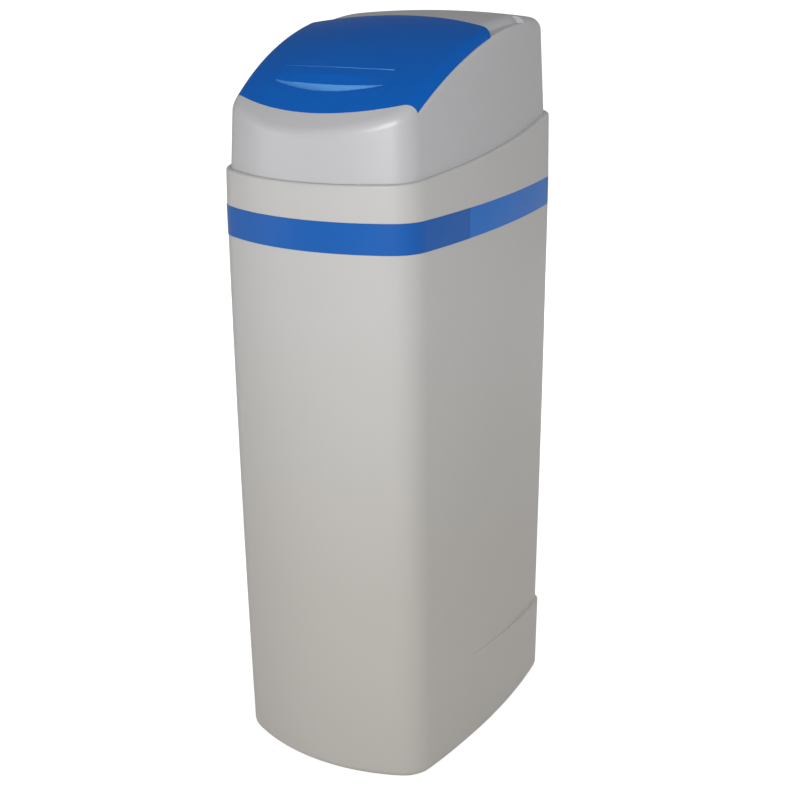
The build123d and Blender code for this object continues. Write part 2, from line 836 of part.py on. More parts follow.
def make_piston():
    piston = grooved_rod(piston_radius, piston_front_y, piston_front_y + piston_length,
                         piston_groove_depth, piston_groove_width, piston_groove_count)
    return piston + lengthwise(0, piston_axis_z, rod_radius, rod_front_y, piston_front_y)


def make_bore_cap():
    near = valve_front_y - flange_thickness
    cap = lengthwise(0, piston_axis_z, bore_radius - shaft_gap, near, cap_rear_y)
    return cap - lengthwise(0, piston_axis_z, rod_radius + shaft_gap, near - overrun,
                            cap_rear_y + overrun)


def pitch_radius(teeth):
    return gear_module * teeth / 2


def gear_face(teeth, phase):
    """Involute gear outline; a tooth's centre lies at the phase angle, in degrees."""
    pitch = pitch_radius(teeth)
    base = pitch * cos(radians(pressure_angle))
    tip = pitch + addendum_share * gear_module
    root = pitch - dedendum_share * gear_module

    def involute(r):
        roll = acos(min(1.0, base / r))
        return tan(roll) - roll

    half_pitch = pi / 2 / teeth - tooth_slack / 2 / pitch

    def half_angle(r):
        return half_pitch + involute(pitch) - involute(r)

    def point(r, angle):
        return (r * cos(angle), r * sin(angle))

    start = max(base, root)
    middle = (start + tip) / 2
    step = 2 * pi / teeth
    edges = []
    for i in range(teeth):
        at = radians(phase) + i * step
        foot = half_angle(start)
        if root < start:
            edges.append(Line(point(root, at - foot), point(start, at - foot)))
        edges.append(ThreePointArc(point(start, at - foot), point(middle, at - half_angle(middle)),
                                   point(tip, at - half_angle(tip))))
        edges.append(ThreePointArc(point(tip, at - half_angle(tip)), point(tip, at),
                                   point(tip, at + half_angle(tip))))
        edges.append(ThreePointArc(point(tip, at + half_angle(tip)),
                                   point(middle, at + half_angle(middle)),
                                   point(start, at + foot)))
        if root < start:
            edges.append(Line(point(start, at + foot), point(root, at + foot)))
        edges.append(ThreePointArc(point(root, at + foot), point(root, at + step / 2),
                                   point(root, at + step - foot)))
    return Face(Wire(edges))


def gear(x, z, teeth, phase, near, far):
    """Gear on an axis along Y; its face is drawn as seen from the front."""
    face = Plane.XZ * gear_face(teeth, phase)
    return Pos(x, far, z) * extrude(face, amount=far - near)


def reduction_place():
    reach = pitch_radius(main_teeth) + pitch_radius(pinion_teeth)
    turn = radians(reduction_angle)
    return reach * cos(turn), piston_axis_z + reach * sin(turn)


def motor_place():
    x, z = reduction_place()
    reach = pitch_radius(wheel_teeth) + pitch_radius(pinion_teeth)
    turn = radians(motor_angle)
    return x + reach * cos(turn), z + reach * sin(turn)


def meshing_phase(angle):
    """Phase of a pinion whose partner has a tooth towards it at this angle."""
    return angle + 180 + 180 / pinion_teeth


def make_main_gear():
    wheel = gear(0, piston_axis_z, main_teeth, reduction_angle, main_front_y, main_rear_y)
    wheel = wheel + lengthwise(0, piston_axis_z, main_hub_radius, main_hub_front_y, main_rear_y)
    for i in range(main_hole_count):
        turn = 2 * pi * i / main_hole_count
        x = main_hole_circle * cos(turn)
        z = piston_axis_z + main_hole_circle * sin(turn)
        wheel = wheel - lengthwise(x, z, main_hole_radius, main_front_y - overrun,
                                   main_rear_y + overrun)
    wheel = wheel - lengthwise(0, piston_axis_z, rod_radius + shaft_gap,
                               main_hub_front_y - overrun, main_rear_y)
    return wheel - lengthwise(0, piston_axis_z, boss_radius + shaft_gap, main_nut_rear_y,
                              main_rear_y + overrun)


def make_reduction_gear():
    x, z = reduction_place()
    wheel = gear(x, z, wheel_teeth, motor_angle, wheel_front_y, wheel_rear_y)
    pinion = gear(x, z, pinion_teeth, meshing_phase(reduction_angle), wheel_rear_y,
                  reduction_pinion_rear_y)
    return wheel + pinion - lengthwise(x, z, axle_radius + shaft_gap, wheel_front_y - overrun,
                                       reduction_pinion_rear_y + overrun)


def make_motor_pinion():
    x, z = motor_place()
    pinion = gear(x, z, pinion_teeth, meshing_phase(motor_angle), motor_pinion_front_y,
                  motor_pinion_rear_y)
    return pinion + lengthwise(x, z, motor_shaft_radius, motor_pinion_rear_y, motor_shaft_rear_y)


def make_motor():
    x, z = motor_place()
    motor = lengthwise(x, z, motor_radius, motor_front_y, motor_rear_y)
    motor = motor + lengthwise(x, z, motor_boss_radius - shaft_gap, bracket_front_y, motor_front_y)
    return motor - lengthwise(x, z, motor_shaft_radius + shaft_gap, bracket_front_y - overrun,
                              motor_shaft_rear_y + running_gap)


def make_bracket():
    rear_y = bracket_front_y + bracket_thickness
    plate = block(-bracket_half_width, bracket_half_width, bracket_front_y, rear_y,
                  bracket_bottom_z, bracket_top_z)
    plate = fillet(plate.edges().filter_by(Axis.Y), bracket_corner_radius)
    plate = plate + lengthwise(0, piston_axis_z, boss_radius, boss_front_y, rear_y)
    plate = plate - lengthwise(0, piston_axis_z, rod_radius + rod_clearance,
                               boss_front_y - overrun, rear_y + overrun)
    x, z = reduction_place()
    plate = plate + lengthwise(x, z, axle_radius, axle_front_y, rear_y)
    x, z = motor_place()
    plate = plate - lengthwise(x, z, motor_boss_radius, boss_front_y, rear_y + overrun)
    for x in (-screw_x, screw_x):
        for z in (screw_low_z, screw_high_z):
            plate = plate - lengthwise(x, z, screw_radius + screw_gap, boss_front_y, rear_y + overrun)
    return plate


def make_bracket_screws():
    screws = []
    for x in (-screw_x, screw_x):
        for z in (screw_low_z, screw_high_z):
            head = lengthwise(x, z, screw_head_radius, bracket_front_y - screw_head_height,
                              bracket_front_y)
            shank = lengthwise(x, z, screw_radius, bracket_front_y - screw_head_height,
                               bracket_front_y - screw_head_height + screw_length)
            screws.append(head + shank)
    return Compound(children=screws)


def face_plane():
    """Plane of the cover's sloped front, at its middle, facing out."""
    rise = cover_top_z - cover_bottom_z
    run = cover_head_y - cover_foot_y
    origin = (0, cover_foot_y + face_origin_share * run, cover_bottom_z + face_origin_share * rise)
    return Plane(origin=origin, x_dir=(1, 0, 0), z_dir=(0, -rise, run))


def cover_form(inset, back_y):
    """Wedge of the valve cover; the inset keeps the open back where it is asked."""
    corners = Polyline((back_y + inset, cover_bottom_z), (cover_foot_y, cover_bottom_z),
                       (cover_head_y, cover_top_z), (back_y + inset, cover_top_z), close=True)
    face = Face(Wire(corners.edges()))
    if inset > 0:
        face = offset(face, amount=-inset, kind=Kind.INTERSECTION).face()
    half = cover_half_width - inset
    wedge = extrude(Plane.YZ * face, amount=half, both=True)
    front = wedge.edges().filter_by(lambda e: (e @ 0.5).Y < bracket_front_y - overrun / 2)
    return fillet(front, cover_corner_radius - inset)


def on_face(shape, right, up, out):
    """Place a shape, centred on the origin, on the cover's sloped front."""
    return face_plane().location * Pos(right, up, out) * shape


def rounded_plate(width, height, radius, low, high):
    plate = extrude(RectangleRounded(width, height, radius), amount=high - low)
    return Pos(0, 0, low) * plate


def button_places():
    middle = (len(button_names) - 1) / 2
    return [(name, (i - middle) * button_pitch) for i, name in enumerate(button_names)]


def make_cover():
    shell = cover_form(0.0, bracket_front_y) - cover_form(cover_wall, bracket_front_y + overrun)
    hollow = cover_form(cover_wall, bracket_front_y + overrun)
    for x in (-post_x, post_x):
        for z in (post_low_z, post_high_z):
            post = lengthwise(x, z, post_radius, cover_foot_y, bracket_front_y)
            shell = shell + (post & hollow & block(-cover_half_width, cover_half_width,
                                                   cover_foot_y, bracket_front_y,
                                                   cover_bottom_z, cover_top_z))
    standoff = Pos(0, 0, -board_depth / 2 - cover_wall / 4) * Cylinder(
        standoff_radius, board_depth - cover_wall / 2)
    for right in (-standoff_x, standoff_x):
        for up in (-standoff_height, standoff_height):
            shell = shell + on_face(standoff, right, up, 0)
    window = Box(display_width, display_height, 4 * cover_wall)
    shell = shell - on_face(window, 0, display_rise, 0)
    for name, right in button_places():
        hole = rounded_plate(button_width + 2 * button_gap, button_height + 2 * button_gap,
                             button_corner_radius + button_gap, -2 * cover_wall, cover_wall)
        shell = shell - on_face(hole, right, -button_fall, 0)
    return shell - crosswise(inlet_y, inlet_z, inlet_radius + running_gap,
                             -cover_half_width - overrun, -cover_half_width + overrun)


def make_display():
    glass = Box(display_width - 2 * display_inset, display_height - 2 * display_inset,
                display_thickness)
    return on_face(glass, 0, display_rise, -display_thickness / 2)


def make_board():
    """Board on the cover's standoffs, with its screen, switches and relay block."""
    board = Pos(0, 0, -board_depth - board_thickness / 2) * Box(board_width, board_height,
                                                                board_thickness)
    screen = Box(display_width + screen_margin, display_height + screen_margin, screen_thickness)
    board = board + Pos(0, display_rise, -board_depth + screen_thickness / 2) * screen
    switch = Box(switch_size, switch_size, switch_height)
    for name, right in button_places():
        board = board + Pos(right, -button_fall, -board_depth + switch_height / 2) * switch
    chip = Box(chip_width, chip_height, chip_thickness)
    low = -board_depth - board_thickness - chip_thickness / 2
    for right in (-button_pitch, button_pitch):
        board = board + Pos(right * 2, 0, low) * chip
    return on_face(board, 0, 0, 0)


def make_button(right):
    cap = rounded_plate(button_width, button_height, button_corner_radius,
                        -cover_wall - running_gap - button_lip_thickness, button_proud)
    cap = chamfer(cap.edges().group_by(Axis.Z)[-1], button_gap)
    lip_top = -cover_wall - running_gap
    lip = rounded_plate(button_width + 2 * button_lip, button_height + 2 * button_lip,
                        button_corner_radius + button_lip, lip_top - button_lip_thickness, lip_top)
    stem_end = -board_depth + switch_height + switch_gap + button_travel
    stem = Pos(0, 0, stem_end / 2) * Cylinder(button_stem_radius, -stem_end)
    return on_face(cap + lip + stem, right, -button_fall, 0)


def make_power_inlet():
    outside = -cover_half_width
    flange = crosswise(inlet_y, inlet_z, inlet_flange_radius, outside - inlet_flange_thickness,
                       outside)
    body = crosswise(inlet_y, inlet_z, inlet_radius, outside - inlet_flange_thickness,
                     outside + inlet_depth)
    return flange + body - crosswise(inlet_y, inlet_z, inlet_bore_radius,
                                     outside - overrun, outside + inlet_bore_depth)


def make_bypass():
    """Two straight ways with a rotor housing on each and a cross way between."""
    body = crosswise(rotor_y, port_z, cross_radius, -port_x, port_x)
    cuts = crosswise(rotor_y, port_z, port_bore_radius, -port_x, port_x)
    for x in (-port_x, port_x):
        body = body + lengthwise(x, port_z, port_radius, bypass_front_y, bypass_rear_y)
        body = body + lengthwise(x, port_z, tail_radius, bypass_rear_y, bypass_rear_y + tail_length)
        body = body + upright(x, rotor_y, rotor_housing_radius, rotor_housing_bottom_z,
                              rotor_housing_top_z)
        cuts = cuts + lengthwise(x, port_z, port_bore_radius, bypass_front_y - overrun,
                                 bypass_rear_y + tail_length + overrun)
        cuts = cuts + upright(x, rotor_y, rotor_radius, rotor_bottom_z - running_gap,
                              rotor_housing_top_z + overrun)
    return body - cuts


def make_rotor(x):
    """Bored rotor with its cap and a bar handle in line with the flow."""
    plug = upright(x, rotor_y, rotor_radius - shaft_gap, rotor_bottom_z, rotor_housing_top_z + running_gap)
    cap_low = rotor_housing_top_z + running_gap
    cap = upright(x, rotor_y, rotor_cap_radius, cap_low, cap_low + rotor_cap_thickness)
    bar = extrude(RectangleRounded(handle_width, handle_length, handle_corner_radius),
                  amount=handle_height)
    bar = Pos(x, rotor_y, cap_low + rotor_cap_thickness) * bar
    plug = plug - lengthwise(x, port_z, port_bore_radius, rotor_y - 2 * rotor_radius,
                             rotor_y + 2 * rotor_radius)
    return plug + cap + bar


def make_union_nuts():
    nuts = []
    for x in (-port_x, port_x):
        ring = extrude(RegularPolygon(nut_across, 8), amount=nut_rear_y - nut_front_y)
        ring = Pos(x, nut_rear_y, port_z) * Rot(90, 0, 0) * ring
        nuts.append(ring - lengthwise(x, port_z, port_radius + running_gap,
                                      nut_front_y - overrun, nut_rear_y + overrun))
    return Compound(children=nuts)


def make_meter_cage():
    """Two spoked end rings joined by ribs, round the turbine."""
    cage = None
    far = cage_rear_y + overrun
    for near in (cage_front_y, cage_rear_y - cage_ring_length):
        ring = lengthwise(port_x, port_z, cage_radius, near, near + cage_ring_length)
        ring = ring - lengthwise(port_x, port_z, cage_radius - cage_wall, near - overrun, far)
        ring = ring + lengthwise(port_x, port_z, cage_hub_radius, near, near + cage_ring_length)
        spoke = Box(2 * cage_radius - cage_wall, cage_ring_length, cage_rib_width)
        for turn in (0, 60, 120):
            ring = ring + Pos(port_x, near + cage_ring_length / 2, port_z) * Rot(0, turn, 0) * spoke
        cage = ring if cage is None else cage + ring
    sleeve = lengthwise(port_x, port_z, cage_radius, cage_front_y, cage_rear_y)
    sleeve = sleeve - lengthwise(port_x, port_z, cage_radius - cage_wall, cage_front_y - overrun, far)
    slab = Box(2 * cage_radius, cage_rear_y - cage_front_y, cage_rib_width)
    for turn in (0, 60, 120):
        rib = Pos(port_x, (cage_front_y + cage_rear_y) / 2, port_z) * Rot(0, turn, 0) * slab
        cage = cage + (sleeve & rib)
    cage = cage & lengthwise(port_x, port_z, cage_radius, cage_front_y, cage_rear_y)
    return cage - lengthwise(port_x, port_z, turbine_axle_radius + shaft_gap, cage_front_y - overrun, far)


def make_turbine():
    middle = (turbine_front_y + turbine_rear_y) / 2
    length = turbine_rear_y - turbine_front_y
    wheel = lengthwise(port_x, port_z, turbine_hub_radius, turbine_front_y, turbine_rear_y)
    blade = Box(turbine_blade_thickness, length, turbine_radius)
    blade = Pos(0, 0, turbine_radius / 2) * Rot(0, 0, turbine_blade_pitch) * blade
    for i in range(turbine_blade_count):
        turn = 360 * i / turbine_blade_count
        wheel = wheel + Pos(port_x, middle, port_z) * Rot(0, turn, 0) * blade
    wheel = wheel & lengthwise(port_x, port_z, turbine_radius, turbine_front_y, turbine_rear_y)
    return wheel + lengthwise(port_x, port_z, turbine_axle_radius, cage_front_y, cage_rear_y)


def make_drain_elbow():
    start = valve_half_width + side_boss_reach
    end = start + drain_reach
    body = crosswise(drain_y, side_port_z, elbow_radius, start, end)
    body = body + Pos(end, drain_y, side_port_z) * Sphere(elbow_radius)
    body = body + upright(end, drain_y, barb_radius, side_port_z - drain_drop, side_port_z)
    bore = crosswise(drain_y, side_port_z, barb_bore_radius, start + cover_wall, end)
    bore = bore + upright(end, drain_y, barb_bore_radius, side_port_z - drain_drop - overrun,
                          side_port_z)
    return body - bore


def make_brine_elbow():
    start = -valve_half_width - side_boss_reach
    body = crosswise(brine_port_y, side_port_z, elbow_radius, line_x, start)
    body = body + Pos(line_x, brine_port_y, side_port_z) * Sphere(elbow_radius)
    return body + lengthwise(line_x, side_port_z, elbow_radius, line_start_y, brine_port_y)


def make_injector_cap():
    start = -valve_half_width - side_boss_reach
    cap = extrude(RegularPolygon(injector_cap_across, 6), amount=injector_cap_thickness)
    return Pos(start, injector_y, side_port_z) * Rot(0, -90, 0) * cap


def make_brine_line():
    """Hose from the valve down to the safety float, straight runs and round bends."""
    path = FilletPolyline((line_x, line_start_y, side_port_z), (line_x, line_turn_y, side_port_z),
                          (line_x, line_turn_y, line_low_z), (line_x, line_end_y, line_low_z),
                          radius=line_bend_radius)
    start = Plane(origin=path @ 0, z_dir=path % 0)
    ring = start * (Circle(line_radius) - Circle(line_bore_radius))
    return sweep(ring, path=path)


def make_well():
    tube = upright(well_x, well_y, well_radius, cabinet_wall, well_top_z)
    tube = tube - upright(well_x, well_y, well_radius - well_wall, 0, well_top_z + overrun)
    slot = Box(well_slot_width, 3 * well_radius, well_slot_height)
    for turn in (0, 45, 90, 135):
        z = well_slot_bottom_z + well_slot_height / 2
        tube = tube - Pos(well_x, well_y, z) * Rot(0, 0, turn) * slot
    return tube - lengthwise(well_x, line_low_z, well_port_radius, well_y, well_y + 2 * well_radius)


def make_well_cap():
    lid_z = well_top_z + running_gap
    cap = upright(well_x, well_y, well_radius + well_cap_overlap, lid_z, lid_z + well_cap_thickness)
    inside = well_radius - well_wall - running_gap
    plug = upright(well_x, well_y, inside, lid_z - well_cap_plug, lid_z)
    plug = plug - upright(well_x, well_y, inside - well_wall, 0, lid_z)
    top = lid_z + well_cap_thickness
    knob = upright(well_x, well_y, well_knob_radius, top, top + well_knob_height)
    knob = fillet(knob.edges().group_by(Axis.Z)[-1], button_corner_radius)
    return cap + plug + knob


def make_float_valve():
    """Air check cage at the floor, the stem with its two stops, and the top elbow."""
    cage_top = cabinet_wall + air_check_height
    body = upright(well_x, well_y, air_check_radius, cabinet_wall, cage_top)
    room_low = cabinet_wall + air_check_wall
    body = body - upright(well_x, well_y, air_check_radius - air_check_wall, room_low,
                          cage_top - air_check_wall)
    seat_low = ball_seat_low()
    shelf = upright(well_x, well_y, air_check_radius, seat_low - ball_seat_rise, seat_low)
    body = body + shelf - upright(well_x, well_y, ball_seat_radius, room_low, seat_low + overrun)
    height = air_check_window_top_z - air_check_window_bottom_z
    window = Box(air_check_window_width, 3 * air_check_radius, height)
    for turn in (0, 90):
        z = air_check_window_bottom_z + height / 2
        body = body - Pos(well_x, well_y, z) * Rot(0, 0, turn) * window
    body = body + upright(well_x, well_y, stem_radius, cage_top - air_check_wall, line_low_z)
    low_stop = float_rest_z - running_gap
    body = body + upright(well_x, well_y, stop_radius, low_stop - stop_thickness, low_stop)
    high_stop = float_rest_z + float_height + float_travel + running_gap
    body = body + upright(well_x, well_y, stop_radius, high_stop, high_stop + stop_thickness)
    body = body + Pos(well_x, well_y, line_low_z) * Sphere(elbow_radius)
    body = body + lengthwise(well_x, line_low_z, elbow_radius, well_y, line_end_y)
    return body - upright(well_x, well_y, stem_bore_radius, cage_top - overrun, line_low_z)


def ball_seat_low():
    """Height of the shelf that the check ball rests on."""
    return air_check_window_bottom_z - air_check_wall


def make_float():
    body = upright(well_x, well_y, float_radius, float_rest_z, float_rest_z + float_height)
    body = fillet(body.edges(), float_corner_radius)
    return body - upright(well_x, well_y, stem_radius + float_gap, 0, well_top_z)


def make_ball():
    drop = sqrt(ball_radius ** 2 - ball_seat_radius ** 2)
    return Pos(well_x, well_y, ball_seat_low() + drop + running_gap) * Sphere(ball_radius)


def make_all():
    nodes = {"cabinet_body": make_cabinet()}
    nodes["stripe_front"], nodes["stripe_rear"] = make_stripes()
    nodes["overflow_elbow"], nodes["overflow_nut"] = make_overflow()
    nodes["hood"] = make_hood()
    nodes["salt_lid"] = make_lid()
    nodes["pressure_vessel"] = make_vessel()
    nodes["vessel_foot"] = make_foot()
    nodes["resin_bed"] = make_resin()
    nodes["riser_tube"] = make_riser()
    nodes["bottom_strainer"] = make_bottom_strainer()
    nodes["top_strainer"] = make_top_strainer()
    nodes["valve_body"] = make_valve_body()
    nodes["piston_spacers"] = make_spacers()
    nodes["valve_piston"] = make_piston()
    nodes["bore_cap"] = make_bore_cap()
    nodes["drive_bracket"] = make_bracket()
    nodes["bracket_screws"] = make_bracket_screws()
    nodes["drive_motor"] = make_motor()
    nodes["motor_pinion"] = make_motor_pinion()
    nodes["reduction_gear"] = make_reduction_gear()
    nodes["main_gear"] = make_main_gear()
    nodes["valve_cover"] = make_cover()
    nodes["display_window"] = make_display()
    nodes["circuit_board"] = make_board()
    for name, right in button_places():
        nodes[name] = make_button(right)
    nodes["power_inlet"] = make_power_inlet()
    nodes["bypass_body"] = make_bypass()
    nodes["inlet_rotor"] = make_rotor(-port_x)
    nodes["outlet_rotor"] = make_rotor(port_x)
    nodes["union_nuts"] = make_union_nuts()
    nodes["meter_cage"] = make_meter_cage()
    nodes["meter_turbine"] = make_turbine()
    nodes["drain_elbow"] = make_drain_elbow()
    nodes["brine_elbow"] = make_brine_elbow()
    nodes["injector_cap"] = make_injector_cap()
    nodes["brine_line"] = make_brine_line()
    nodes["brine_well"] = make_well()
    nodes["well_cap"] = make_well_cap()
    nodes["float_valve"] = make_float_valve()
    nodes["brine_float"] = make_float()
    nodes["check_ball"] = make_ball()
    return nodes


os.makedirs("parts", exist_ok=True)
for name, shape in make_all().items():
    export_step(shape, f"parts/{name}.step")
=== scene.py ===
import json
import math

import bmesh
import bpy
from mathutils import Matrix, Vector
from mathutils.bvhtree import BVHTree


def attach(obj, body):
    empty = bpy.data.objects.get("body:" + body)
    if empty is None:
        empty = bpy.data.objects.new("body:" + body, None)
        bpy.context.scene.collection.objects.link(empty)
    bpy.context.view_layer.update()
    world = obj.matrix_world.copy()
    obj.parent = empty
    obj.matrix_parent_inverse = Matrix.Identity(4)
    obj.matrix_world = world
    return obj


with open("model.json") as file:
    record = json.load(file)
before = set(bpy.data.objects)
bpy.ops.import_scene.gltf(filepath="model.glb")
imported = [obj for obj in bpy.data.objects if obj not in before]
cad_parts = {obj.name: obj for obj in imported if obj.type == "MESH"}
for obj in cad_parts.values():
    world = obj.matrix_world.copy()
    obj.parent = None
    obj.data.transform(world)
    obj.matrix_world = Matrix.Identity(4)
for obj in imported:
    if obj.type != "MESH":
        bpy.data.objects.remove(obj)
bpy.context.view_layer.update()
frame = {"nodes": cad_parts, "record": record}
scene = bpy.context.scene
nodes = frame["nodes"]
mm = 0.001
print("frame loaded:", len(nodes), "nodes")


def hexColour(text):
    # sRGB hex to the linear values that Blender's sockets take
    channels = [int(text[i:i + 2], 16) / 255 for i in (1, 3, 5)]
    linear = [c / 12.92 if c <= 0.04045 else ((c + 0.055) / 1.055) ** 2.4 for c in channels]
    return (*linear, 1.0)


def addNode(tree, kind, settings=None, links=None):
    # settings holds node properties and input values, links holds input name to output socket
    node = tree.nodes.new(kind)
    for name, value in (settings or {}).items():
        if hasattr(node, name):
            setattr(node, name, value)
        else:
            node.inputs[name].default_value = value
    for name, socket in (links or {}).items():
        tree.links.new(socket, node.inputs[name])
    return node


def newMaterial(name):
    material = bpy.data.materials.new(name)
    material.use_nodes = True
    tree = material.node_tree
    tree.nodes.clear()
    shader = addNode(tree, "ShaderNodeBsdfPrincipled")
    addNode(tree, "ShaderNodeOutputMaterial", links={"Surface": shader.outputs[0]})
    return material, tree, shader


def objectPlace(tree):
    return addNode(tree, "ShaderNodeTexCoord").outputs["Object"]


def patternScale(sizeMm):
    # a noise cell of this many millimetres, in metres of object space
    return 1 / (sizeMm * mm)


def noiseBump(tree, shader, sizeMm, heightMm, detail=2.0):
    grain = addNode(tree, "ShaderNodeTexNoise",
                    {"Scale": patternScale(sizeMm), "Detail": detail}, {"Vector": objectPlace(tree)})
    bump = addNode(tree, "ShaderNodeBump", {"Strength": 1.0, "Distance": heightMm * mm},
                   {"Height": grain.outputs["Fac"]})
    tree.links.new(bump.outputs["Normal"], shader.inputs["Normal"])


def blendColours(tree, factor, first, second):
    mix = addNode(tree, "ShaderNodeMix", {"data_type": "RGBA"})
    colours = [socket for socket in mix.inputs if socket.type == "RGBA"]
    for socket, colour in zip(colours, (first, second)):
        socket.default_value = hexColour(colour)
    tree.links.new(factor, mix.inputs["Factor"])
    return next(socket for socket in mix.outputs if socket.type == "RGBA")


def dress(name, material):
    slots = nodes[name].data.materials
    slots.clear()
    slots.append(material)


# the lower colour is warmer and a shade darker than the upper one; the darkening is painted shade, blended
# in between the two heights given in metres
cabinetShell = {
    "colour": "#c4c3c1",
    "warmShadedLowColour": "#bebab4",
    "warmShadeFrom": 0.30,
    "warmShadeTo": 0.72,
    "roughness": 0.42,
    "grainMm": 1.1,
    "grainHeightMm": 0.035,
}


def polyethylene():
    # rotationally moulded polyethylene: soft sheen, fine grain, and a colour a little warmer and darker low
    # down, where the darkening is painted shade of the light falling off towards the floor
    material, tree, shader = newMaterial("moulded polyethylene, light grey")
    v = cabinetShell
    place = objectPlace(tree)
    split = addNode(tree, "ShaderNodeSeparateXYZ", links={"Vector": place})
    # painted shade: the colour goes darker and warmer towards the bottom
    fade = addNode(tree, "ShaderNodeMapRange", {"From Min": v["warmShadeFrom"], "From Max": v["warmShadeTo"]},
                   {"Value": split.outputs["Z"]})
    colour = blendColours(tree, fade.outputs["Result"], v["warmShadedLowColour"], v["colour"])
    tree.links.new(colour, shader.inputs["Base Color"])
    shader.inputs["Roughness"].default_value = v["roughness"]
    shader.inputs["IOR"].default_value = 1.51
    noiseBump(tree, shader, v["grainMm"], v["grainHeightMm"])
    return material


# injection moulded ABS with a satin face: an even cool grey with a soft band of light on the shoulder
hoodShell = {"colour": "#c1c1c3", "roughness": 0.34, "grainMm": 0.9, "grainHeightMm": 0.012}


def mouldedPlastic(name, values):
    # injection moulded plastic with an even colour cloud and a fine tool texture
    material, tree, shader = newMaterial(name)
    cloud = addNode(tree, "ShaderNodeTexNoise", {"Scale": patternScale(values.get("cloudMm", 60))},
                    {"Vector": objectPlace(tree)})
    second = values.get("second", values["colour"])
    colour = blendColours(tree, cloud.outputs["Fac"], values["colour"], second)
    tree.links.new(colour, shader.inputs["Base Color"])
    shader.inputs["Roughness"].default_value = values["roughness"]
    shader.inputs["IOR"].default_value = values.get("ior", 1.5)
    shader.inputs["Metallic"].default_value = values.get("metallic", 0.0)
    shader.inputs["Specular IOR Level"].default_value = values.get("specular", 0.5)
    noiseBump(tree, shader, values["grainMm"], values["grainHeightMm"])
    return material


# injection moulded gloss ABS: deep blue, and low ripples 7 mm across that soften the highlights
blueLid = {"colour": "#0a5eba", "second": "#0b62bf", "roughness": 0.26, "grainMm": 7.0,
           "grainHeightMm": 0.02, "ior": 1.53, "specular": 0.22}
# calendered vinyl strip: a little duller than the lid, with faint 3 mm orange peel
blueTrim = {"colour": "#125fb3", "second": "#0f5bae", "roughness": 0.3, "grainMm": 3.0,
            "grainHeightMm": 0.01, "ior": 1.53, "specular": 0.35}

# the rear length is a shade lighter: a slight real difference between the two lengths, made larger as
# painted light that brightens the cabinet's side where the lamps leave it dim
rearTrimPaintedLighter = {**blueTrim, "colour": "#1672cf", "second": "#146eca"}

